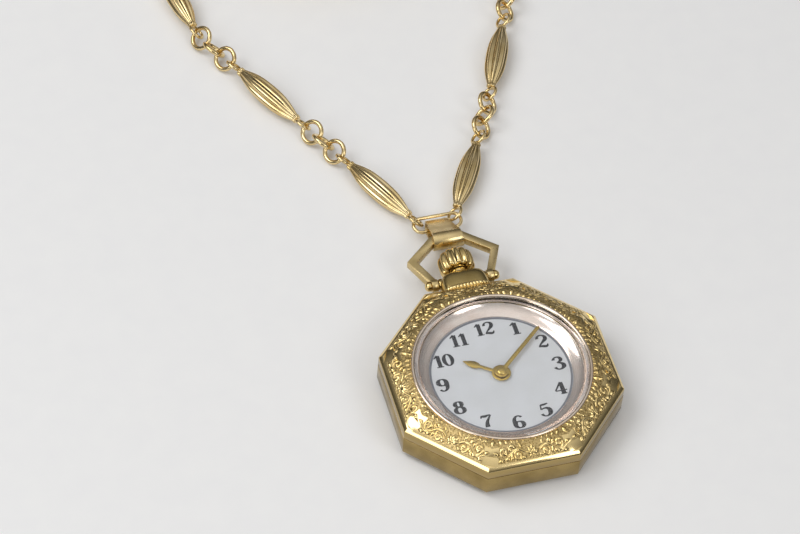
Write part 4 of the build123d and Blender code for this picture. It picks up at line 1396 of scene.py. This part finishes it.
    def border_strokes(self) -> list[list[Point]]:
        """Lists the leaves that fan out on the flat of one corner, towards +Y.

        Returns:
            Each leaf's points, in millimetres, with a width share each.
        """
        rim = (self.lip_inner + self.lip_width) / MM + self.border_foot_gap
        tip = self.top_flats / MM / 2 / math.cos(EIGHTH_TURN / 2)
        leaves = [self.leaf((0.0, rim), 90, tip - rim - self.border_tip_gap, 0)]
        for number in range(1, self.border_steps):
            across = self.border_step * number
            foot = math.sqrt(rim * rim - across * across)
            length = (tip - across * math.tan(EIGHTH_TURN / 2) - foot) * self.border_fill
            for side in (-1, 1):
                heading = 90 - side * self.border_lean
                leaves.append(self.leaf((side * across, foot), heading, length, -side * self.border_curl))
        return leaves

    def lip(self) -> Piece:
        """Spins the half-round rim that holds the crystal.

        Returns:
            The rim.
        """
        half = self.lip_width / 2
        turns = [math.pi * i / self.lip_arc_steps for i in range(self.lip_arc_steps + 1)]
        section = [(self.lip_inner + half + half * math.cos(turn), self.high + self.lip_height * math.sin(turn))
                   for turn in turns]
        foot = self.high - self.lip_height
        section += [(self.lip_inner, foot), (self.lip_inner + self.lip_width, foot)]
        return Bench.smooth(Bench.spun("crystal_lip", section, self.lip_steps), ROUND_ANGLE)

    def relief(self, strokes: list[list[Point]], seat: Matrix) -> Piece:
        """Models strokes as low relief.

        Args:
            strokes: Each stroke's points, in millimetres, with a width share each.
            seat: Where the plane that they are drawn on goes.

        Returns:
            The relief.
        """
        metres = [[(x * MM, y * MM, width) for x, y, width in stroke] for stroke in strokes]
        relief = Bench.drawn("scrolls", metres, "POLY", self.stroke, 1)
        return Bench.place(relief, seat @ Matrix.Diagonal((1, 1, self.flatness, 1)))

    def build(self) -> None:
        """Dresses the bezel and lays the relief on its eight slopes."""
        gold = Finishes.bright_gold
        # The engraved gold paints shade on the ground between the relief, and the band's dark reflection on the
        # bezel's lower side.
        ground = EngravedGold("engraved gold painted pit shade", gold.bright, self.ground, Finishes.band_gold.bright,
                              self.low + self.ground_above_edge, self.high - self.ground_below_top,
                              self.corner_half_width, self.edge_flats / 2)
        SoftenedSolid("bezel", "case", ground, self.edge, "engraved_gilt").build()
        finish_piece(self.lip(), "case", Finishes.lip_metal)
        spread = Matrix.Diagonal((1, self.spread, 1, 1))
        corner = Matrix.Rotation(EIGHTH_TURN / 2 - math.pi / 2, 4, "Z")
        panel = Bench.join([self.relief(self.strokes(), self.slope() @ spread),
                            self.relief(self.border_strokes(), Matrix.Translation((0, 0, self.high)) @ corner)],
                           "panel")
        turns = [Matrix.Rotation(EIGHTH_TURN * i, 4, "Z") for i in range(8)]
        scrolls = Bench.smooth(Bench.repeat(panel, turns, "bezel_scrolls"), ROUND_ANGLE)
        finish_piece(scrolls, "case", gold)


@dataclass(frozen=True)
class Crystal:
    """The low domed glass and the bright coved ring that it stands on."""

    radius: float = 10.70 * MM
    steps: int = 128
    dome_shares: Profile = (
        (1.0, 0.0), (0.995, 0.10), (0.97, 0.22), (0.93, 0.38), (0.86, 0.58), (0.77, 0.78), (0.65, 0.91),
        (0.48, 0.97), (0.25, 0.995), (0.02, 1.0))
    edge_share: float = 0.52
    thickness: float = 0.65 * MM
    seat_width: float = 0.55 * MM
    reflector_inner: float = 8.86 * MM
    cove_shares: Profile = (
        (0.0, 0.0), (0.0, 0.10), (0.05, 0.15), (0.28, 0.24), (0.52, 0.40), (0.72, 0.62), (0.86, 0.84), (0.93, 1.0),
        (1.0, 1.0), (1.0, 0.0))

    def glass(self) -> Piece:
        """Turns the glass over its solid's height.

        Returns:
            The glass.
        """
        low, high = (corner.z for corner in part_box("crystal"))
        edge = low + (high - low) * self.edge_share
        outside = scaled(self.dome_shares, self.radius, edge, high - edge)
        inside = scaled(self.dome_shares[::-1], self.radius - self.seat_width, low, high - self.thickness - low)
        return Bench.smooth(Bench.turned("crystal_glass", [*inside, (self.radius, low), *outside], self.steps))

    def reflector(self) -> Piece:
        """Spins the coved ring round the dial.

        Returns:
            The ring.
        """
        low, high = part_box("rehaut_ring")
        outer, inner = high.x, self.reflector_inner
        points = [(inner + (outer - inner) * wide, low.z + (high.z - low.z) * tall) for wide, tall in self.cove_shares]
        return Bench.smooth(Bench.spun("reflector_ring", points, self.steps))

    def build(self) -> None:
        """Makes the glass and the ring."""
        finish_piece(self.reflector(), "case", Finishes.reflector, ("rehaut_ring",))
        finish_piece(self.glass(), "case", Finishes.glass, ("crystal",))


def bow_axis_ends() -> list[Matrix]:
    """Frames the bow's axis on both sides of the neck.

    Returns:
        The left and the right frame, with Z pointing outwards along the axis.
    """
    low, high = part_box("bow_screws")
    middle = Matrix.Translation((0, (low.y + high.y) / 2, (low.z + high.z) / 2))
    return [middle @ Matrix.Rotation(math.pi / 2 * side, 4, "Y") for side in (-1, 1)]


@dataclass(frozen=True)
class BowScrews:
    """The two round-headed screws that the bow turns on."""

    head_radius: float = 0.62 * MM
    head_height: float = 0.80 * MM
    shank_radius: float = 0.34 * MM
    shank_length: float = 1.90 * MM
    steps: int = 28
    head_shares: Profile = (
        (0.86, 0.0), (1.0, 0.12), (1.0, 0.40), (0.93, 0.62), (0.78, 0.80), (0.52, 0.93), (0.22, 0.995))

    def build(self) -> None:
        """Turns one screw and copies it to the other side."""
        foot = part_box("bow_screws")[1].x - self.head_height
        profile = [(self.shank_radius, foot - self.shank_length), (self.shank_radius, foot)]
        profile += scaled(self.head_shares, self.head_radius, foot, self.head_height)
        screw = Bench.turned("screw model", profile, self.steps)
        screws = Bench.smooth(Bench.repeat(screw, bow_axis_ends(), "bow_screw_pair"))
        finish_piece(screws, "case", Finishes.bright_gold, ("bow_screws",))


@dataclass(frozen=True)
class PendantNeck:
    """The rounded neck between the case and the crown, with a row of beads at its foot."""

    half_width: float = 3.13 * MM
    half_depth: float = 2.05 * MM
    case_top: float = 14.005 * MM
    foot: float = 13.00 * MM
    top: float = 17.30 * MM
    top_share: float = 0.92
    bore: float = 1.30 * MM
    boss_radius: float = 0.74 * MM
    boss_root: float = 2.20 * MM
    boss_shares: Profile = ((1.0, 0.0), (1.0, 0.78), (0.95, 0.93), (0.84, 1.0))
    bead_radius: float = 0.25 * MM
    bead_step: float = 0.43 * MM
    beads_a_side: int = 6
    bead_row: float = 14.28 * MM
    bead_stretch: Point = (1, 1.35, 0.7)
    steps: int = 32
    bore_steps: int = 40
    bead_steps: tuple[int, int] = (14, 8)
    top_margin: float = 0.10 * MM
    case_edge: float = 0.10 * MM
    cut_threshold: float = 0.0002 * MM

    def body(self, height: float) -> Piece:
        """Rounds the neck's block and bores it for the pendant tube.

        Args:
            height: The height of the stem's axis.

        Returns:
            The neck.
        """
        Bench.clear()
        half_length = (self.top - self.foot) / 2
        bpy.ops.mesh.primitive_cube_add(size=2, location=(0, self.foot + half_length, height),
                                        scale=(self.half_width, half_length, self.half_depth))
        neck = Bench.settle(Bench.fresh("pendant_neck"))
        with Bench.editing(neck):
            bpy.ops.mesh.select_all(action="SELECT")
            bpy.ops.mesh.subdivide(number_cuts=1)
            Bench.choose(neck, lambda co: co.y > self.top - self.top_margin)
            bpy.ops.transform.resize(value=(self.top_share, 1, self.top_share),
                                     center_override=(0, self.top, height))
        Bench.modify(neck, "SUBSURF", levels=3, render_levels=3)
        Bench.clear()
        bpy.ops.mesh.primitive_cylinder_add(vertices=self.bore_steps, radius=self.bore, depth=4 * half_length,
                                            location=(0, self.top, height), rotation=(math.pi / 2, 0, 0))
        drill = Bench.settle(Bench.fresh("drill"))
        Bench.modify(neck, "BOOLEAN", object=drill, operation="DIFFERENCE", solver="EXACT")
        Bench.discard(drill)
        return neck

    def bosses(self) -> Piece:
        """Turns the two low bosses that the bow's eyes run against."""
        profile = scaled(self.boss_shares, self.boss_radius, self.boss_root, self.half_width - self.boss_root)
        return Bench.repeat(Bench.turned("boss model", profile, self.steps), bow_axis_ends(), "bosses")

    def beads(self, neck: Piece) -> Piece:
        """Lays the row of beads over the foot of the neck.

        Args:
            neck: The neck that they lie on.

        Returns:
            The row.
        """
        Bench.clear()
        segments, rings = self.bead_steps
        bpy.ops.mesh.primitive_uv_sphere_add(segments=segments, ring_count=rings, radius=self.bead_radius)
        bead = Bench.fresh("bead model")
        row = []
        for number in range(-self.beads_a_side, self.beads_a_side + 1):
            above = Vector((number * self.bead_step, self.bead_row, 1))
            _, spot, normal, _ = neck.ray_cast(above, Vector((0, 0, -1)))
            row.append(Matrix.LocRotScale(spot, normal.to_track_quat("Z", "Y"), None)
                       @ Matrix.Diagonal((*self.bead_stretch, 1)))
        return Bench.smooth(Bench.repeat(bead, row, "neck_beads"), ROUND_ANGLE)

    def build(self) -> None:
        """Softens the case's middle, takes its plain neck off and sets the rounded one on it."""
        # The band's darker gold is a painted dark reflection.
        middle = SoftenedSolid("case_middle", "case", Finishes.band_gold, self.case_edge).build()
        with Bench.editing(middle):
            bpy.ops.mesh.select_all(action="SELECT")
            bpy.ops.mesh.bisect(plane_co=(0, self.case_top, 0), plane_no=(0, 1, 0), use_fill=True, clear_outer=True,
                                threshold=self.cut_threshold)
        low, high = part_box("crown")
        neck = self.body((low.z + high.z) / 2)
        beads = self.beads(neck)
        neck = Bench.smooth(Bench.join([neck, self.bosses()], "pendant_neck"))
        # The neck's darker gold is painted shade.
        finish_piece(neck, "case", Finishes.neck_gold)
        finish_piece(beads, "case", Finishes.bright_gold)


@dataclass(frozen=True)
class Crown:
    """The winding crown with its deep, rounded lobes."""

    lobes: int = 12
    fluting: tuple[float, ...] = (1, 0.96, 0.80, 0.96)
    profile_shares: Profile = (
        (0.62, 0.0), (0.84, 0.03), (0.97, 0.14), (1.0, 0.40), (0.98, 0.68), (0.88, 0.86), (0.66, 0.97), (0.36, 1.0))

    def build(self) -> None:
        """Draws the crown where its solid is."""
        low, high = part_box("crown")
        length, radius = high.y - low.y, (high.x - low.x) / 2
        profile = scaled(self.profile_shares, radius, -length / 2, length)
        crown = Bench.turned("crown_lobes", profile, self.lobes * len(self.fluting), self.fluting)
        seat = Matrix.Translation((low + high) / 2) @ Matrix.Rotation(math.pi / 2, 4, "Z") @ ALONG_X
        Bench.modify(Bench.place(crown, seat), "SUBSURF", levels=2, render_levels=2)
        Bench.smooth(crown, FLUTE_ANGLE)
        finish_piece(crown, "crown_body", Finishes.bright_gold, ("crown",))


@dataclass(frozen=True)
class Hands:
    """The leaf hour hand and the straight minute hand."""

    hub: float = 1.25 * MM
    edge: float = 0.05 * MM
    blade_fullness: float = 1.45
    tip_fullness: float = 1.7
    tip_start: float = 0.7

    def soften(self, name: str) -> Piece:
        """Softens one hand's solid."""
        return SoftenedSolid(name, f"{name}_body", Finishes.hand_gold, self.edge, "hands").build()

    def fill_out(self, hand: Piece) -> None:
        """Widens a hand's blade from the hub on, and its tip once more.

        Args:
            hand: The hand.
        """
        tip = max((vertex.co.copy() for vertex in hand.data.vertices), key=lambda co: co.xy.length)
        turn = Matrix.Rotation(math.atan2(tip.y, tip.x), 4, "Z")
        Bench.place(hand, turn.inverted())
        with Bench.editing(hand):
            for start, fullness in ((self.hub, self.blade_fullness),
                                    (tip.xy.length * self.tip_start, self.tip_fullness)):
                Bench.choose(hand, lambda co: co.x > start)
                bpy.ops.transform.resize(value=(1, fullness, 1), center_override=(0, 0, 0))
        Bench.place(hand, turn)

    def build(self) -> None:
        """Softens both hands and fills out the minute hand."""
        self.soften("hour_hand")
        self.fill_out(self.soften("minute_hand"))


class Figures:
    """The dial's figures, drawn with thick and thin strokes on a box one high.

    A stroke's points are its places and its half widths.
    """

    THICK, THIN = 0.115, 0.042
    LOOP_STEPS = 16
    ADVANCE = {"1": 0.50}
    USUAL_ADVANCE = 0.66
    STROKES: dict[str, list[list[Point]]] = {
        "1": [[(0.28, 0.02, 0.115), (0.28, 0.50, 0.115), (0.28, 0.97, 0.115)],
              [(0.28, 0.96, 0.10), (0.16, 0.88, 0.06), (0.04, 0.76, 0.03)],
              [(0.08, 0.03, 0.04), (0.28, 0.03, 0.05), (0.48, 0.03, 0.04)]],
        "2": [[(0.10, 0.74, 0.09), (0.10, 0.90, 0.06), (0.30, 1.04, 0.045), (0.53, 0.92, 0.09), (0.53, 0.66, 0.125),
               (0.34, 0.44, 0.07), (0.16, 0.24, 0.045), (0.08, 0.06, 0.045)],
              [(0.07, 0.07, 0.045), (0.22, 0.12, 0.09), (0.38, 0.05, 0.11), (0.52, 0.06, 0.07), (0.56, 0.24, 0.03)]],
        "3": [[(0.10, 0.78, 0.09), (0.12, 0.94, 0.055), (0.32, 1.03, 0.045), (0.50, 0.90, 0.10), (0.48, 0.64, 0.10),
               (0.24, 0.54, 0.035)],
              [(0.24, 0.54, 0.035), (0.50, 0.50, 0.08), (0.58, 0.22, 0.135), (0.40, -0.01, 0.06), (0.16, 0.00, 0.05),
               (0.08, 0.20, 0.09)]],
        "4": [[(0.40, 0.96, 0.06), (0.20, 0.62, 0.045), (0.03, 0.31, 0.04)],
              [(0.03, 0.30, 0.045), (0.32, 0.30, 0.045), (0.63, 0.30, 0.045)],
              [(0.42, 0.02, 0.115), (0.42, 0.50, 0.115), (0.42, 0.95, 0.10)],
              [(0.26, 0.03, 0.04), (0.42, 0.03, 0.05), (0.58, 0.03, 0.04)]],
        "5": [[(0.14, 0.92, 0.06), (0.30, 0.90, 0.10), (0.52, 0.98, 0.04)],
              [(0.14, 0.93, 0.04), (0.12, 0.74, 0.038), (0.11, 0.54, 0.04)],
              [(0.11, 0.54, 0.04), (0.28, 0.68, 0.05), (0.54, 0.56, 0.115), (0.54, 0.18, 0.13), (0.36, -0.01, 0.05),
               (0.14, 0.01, 0.05), (0.08, 0.20, 0.09)]],
        "7": [[(0.05, 0.78, 0.035), (0.08, 0.96, 0.07), (0.26, 0.88, 0.11), (0.42, 0.96, 0.06), (0.56, 0.95, 0.045)],
              [(0.56, 0.95, 0.045), (0.40, 0.66, 0.06), (0.26, 0.36, 0.10), (0.25, 0.03, 0.125)]],
    }

    @staticmethod
    def loop(centre: tuple[float, float], wide: float, tall: float) -> list[Point]:
        """Draws an oval that is thick at its sides.

        Args:
            centre: Its middle.
            wide: Half its width.
            tall: Half its height.

        Returns:
            Its points.
        """
        points = []
        for i in range(Figures.LOOP_STEPS + 1):
            turn = 2 * math.pi * i / Figures.LOOP_STEPS
            points.append((centre[0] + wide * math.cos(turn), centre[1] + tall * math.sin(turn),
                           Figures.THIN + (Figures.THICK - Figures.THIN) * abs(math.cos(turn)) ** 1.4))
        return points

    @staticmethod
    def hook(turned: bool) -> list[list[Point]]:
        """Draws a 6, or a 9.

        Args:
            turned: Whether it is turned upside down to a 9.

        Returns:
            Its strokes.
        """
        strokes = [Figures.loop((0.31, 0.28), 0.21, 0.26),
                   [(0.50, 0.84, 0.075), (0.42, 0.99, 0.045), (0.22, 0.96, 0.06), (0.08, 0.68, 0.11),
                    (0.10, 0.28, 0.115)]]
        if turned:
            strokes = [[(0.62 - x, 1 - y, width) for x, y, width in stroke] for stroke in strokes]
        return strokes

    @staticmethod
    def digit(sign: str) -> list[list[Point]]:
        """Gives the strokes of one figure.

        Args:
            sign: The figure.

        Returns:
            Its strokes.
        """
        match sign:
            case "0":
                return [Figures.loop((0.31, 0.50), 0.23, 0.47)]
            case "6":
                return Figures.hook(False)
            case "8":
                return [Figures.loop((0.31, 0.76), 0.17, 0.21), Figures.loop((0.31, 0.28), 0.22, 0.26)]
            case "9":
                return Figures.hook(True)
            case _:
                return Figures.STROKES[sign]

    @staticmethod
    def number(value: int) -> list[list[Point]]:
        """Gives the strokes of a whole number, with its figures side by side.

        Args:
            value: The number.

        Returns:
            Its strokes.
        """
        strokes, across = [], 0.0
        for sign in str(value):
            strokes += [[(x + across, y, width) for x, y, width in stroke] for stroke in Figures.digit(sign)]
            across += Figures.ADVANCE.get(sign, Figures.USUAL_ADVANCE)
        return strokes


@dataclass(frozen=True)
class Dial:
    """The silvered dial's numerals, the grey ring of painted shadow round its edge, and the boss of the hands."""

    numeral_circle: float = 7.42 * MM
    wide_numeral_circle: float = 7.20 * MM
    numeral_height: float = 1.86 * MM
    numeral_width: float = 1.32
    wide_numeral_width: float = 1.20
    paint_thickness: float = 0.03 * MM
    # The painted shadow ring where the reflector ring meets the dial.
    track_radius: float = 8.82 * MM
    track_width: float = 0.26 * MM
    boss_radius: float = 0.62 * MM
    boss_height: float = 0.26 * MM
    boss_shares: Profile = ((1.0, 0.0), (0.97, 0.35), (0.86, 0.65), (0.66, 0.86), (0.36, 0.97), (0.12, 1.0))
    boss_steps: int = 32
    track_steps: int = 120

    def numeral(self, hour: int, top: float) -> Piece:
        """Models one numeral, upright at its hour.

        Args:
            hour: The hour.
            top: The dial's surface.

        Returns:
            The numeral.
        """
        numeral = Bench.drawn(f"numeral_{hour}", Figures.number(hour), "NURBS", 1.0, 2)
        turn = math.radians(90 - 30 * hour)
        reach, width = self.numeral_circle, self.numeral_width
        if len(str(hour)) > 1:
            reach, width = self.wide_numeral_circle, self.wide_numeral_width
        xs = [vertex.co.x for vertex in numeral.data.vertices]
        centre = Matrix.Translation((-(min(xs) + max(xs)) / 2, -0.5, 0))
        spot = Vector((reach * math.cos(turn), reach * math.sin(turn), top))
        flat = self.paint_thickness / (2 * Figures.THICK)
        scale = Matrix.Diagonal((self.numeral_height * width, self.numeral_height, flat, 1))
        return Bench.place(numeral, Matrix.Translation(spot) @ scale @ centre)

    def track(self, top: float) -> Piece:
        """Models the thin grey ring round the dial's edge, a painted shadow of the reflector ring.

        Args:
            top: The dial's surface.

        Returns:
            The painted shadow ring.
        """
        Bench.clear()
        bpy.ops.mesh.primitive_circle_add(vertices=self.track_steps, radius=self.track_radius, location=(0, 0, top))
        track = Bench.settle(Bench.fresh("dial_rim_shadow"))
        share = 1 - self.track_width / self.track_radius
        with Bench.editing(track):
            bpy.ops.mesh.select_all(action="SELECT")
            bpy.ops.mesh.extrude_edges_move()
            bpy.ops.transform.resize(value=(share, share, 1), center_override=(0, 0, top))
            Bench.face_out()
        Bench.modify(track, "SOLIDIFY", thickness=self.paint_thickness, offset=0)
        return track

    def build(self) -> None:
        """Paints the dial and caps the hands."""
        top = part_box("dial")[1].z
        numerals = Bench.join([self.numeral(hour, top) for hour in range(1, 13)], "numerals")
        finish_piece(numerals, "case", Finishes.ink)
        # The grey ring round the dial's edge is a painted shadow of the reflector ring.
        finish_piece(self.track(top), "case", Finishes.track)
        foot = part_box("minute_hand")[1].z
        profile = scaled(self.boss_shares, self.boss_radius, foot, self.boss_height)
        boss = Bench.smooth(Bench.turned("hand_boss", profile, self.boss_steps), FLUTE_ANGLE)
        finish_piece(boss, "minute_hand_body", Finishes.hand_gold)


def dress_solids() -> None:
    """Gives each solid that still shows the finish of its slot."""
    slots = {part["node"]: part["material_slot"] for part in frame["record"]["subparts"]}
    for name, node in frame["nodes"].items():
        finish = Finishes.by_slot.get(slots[name])
        if finish is not None:
            dress(node, finish)


def main() -> None:
    """Builds the scene."""
    logging.basicConfig(level=logging.INFO, format="%(message)s")
    Studio().build()
    shop = LinkShop()
    PutAwayChain(shop).build()
    dress_solids()
    for side in ("left", "right"):
        Strand(side, shop).build()
    Bezel().build()
    Crystal().build()
    PendantNeck().build()
    Crown().build()
    back_edge, bow_edge, bail_edge = 0.08 * MM, 0.14 * MM, 0.06 * MM
    # The back's darker gold is a painted dark reflection.
    SoftenedSolid("case_back", "case", Finishes.band_gold, back_edge).build()
    SoftenedSolid("bow", "bow_body", Finishes.satin_gold, bow_edge).build()
    SoftenedSolid("bail", "bail_body", Finishes.satin_gold, bail_edge).build()
    Hands().build()
    PendantRing().build()
    BowScrews().build()
    Dial().build()


if __name__ == "__main__":
    main()
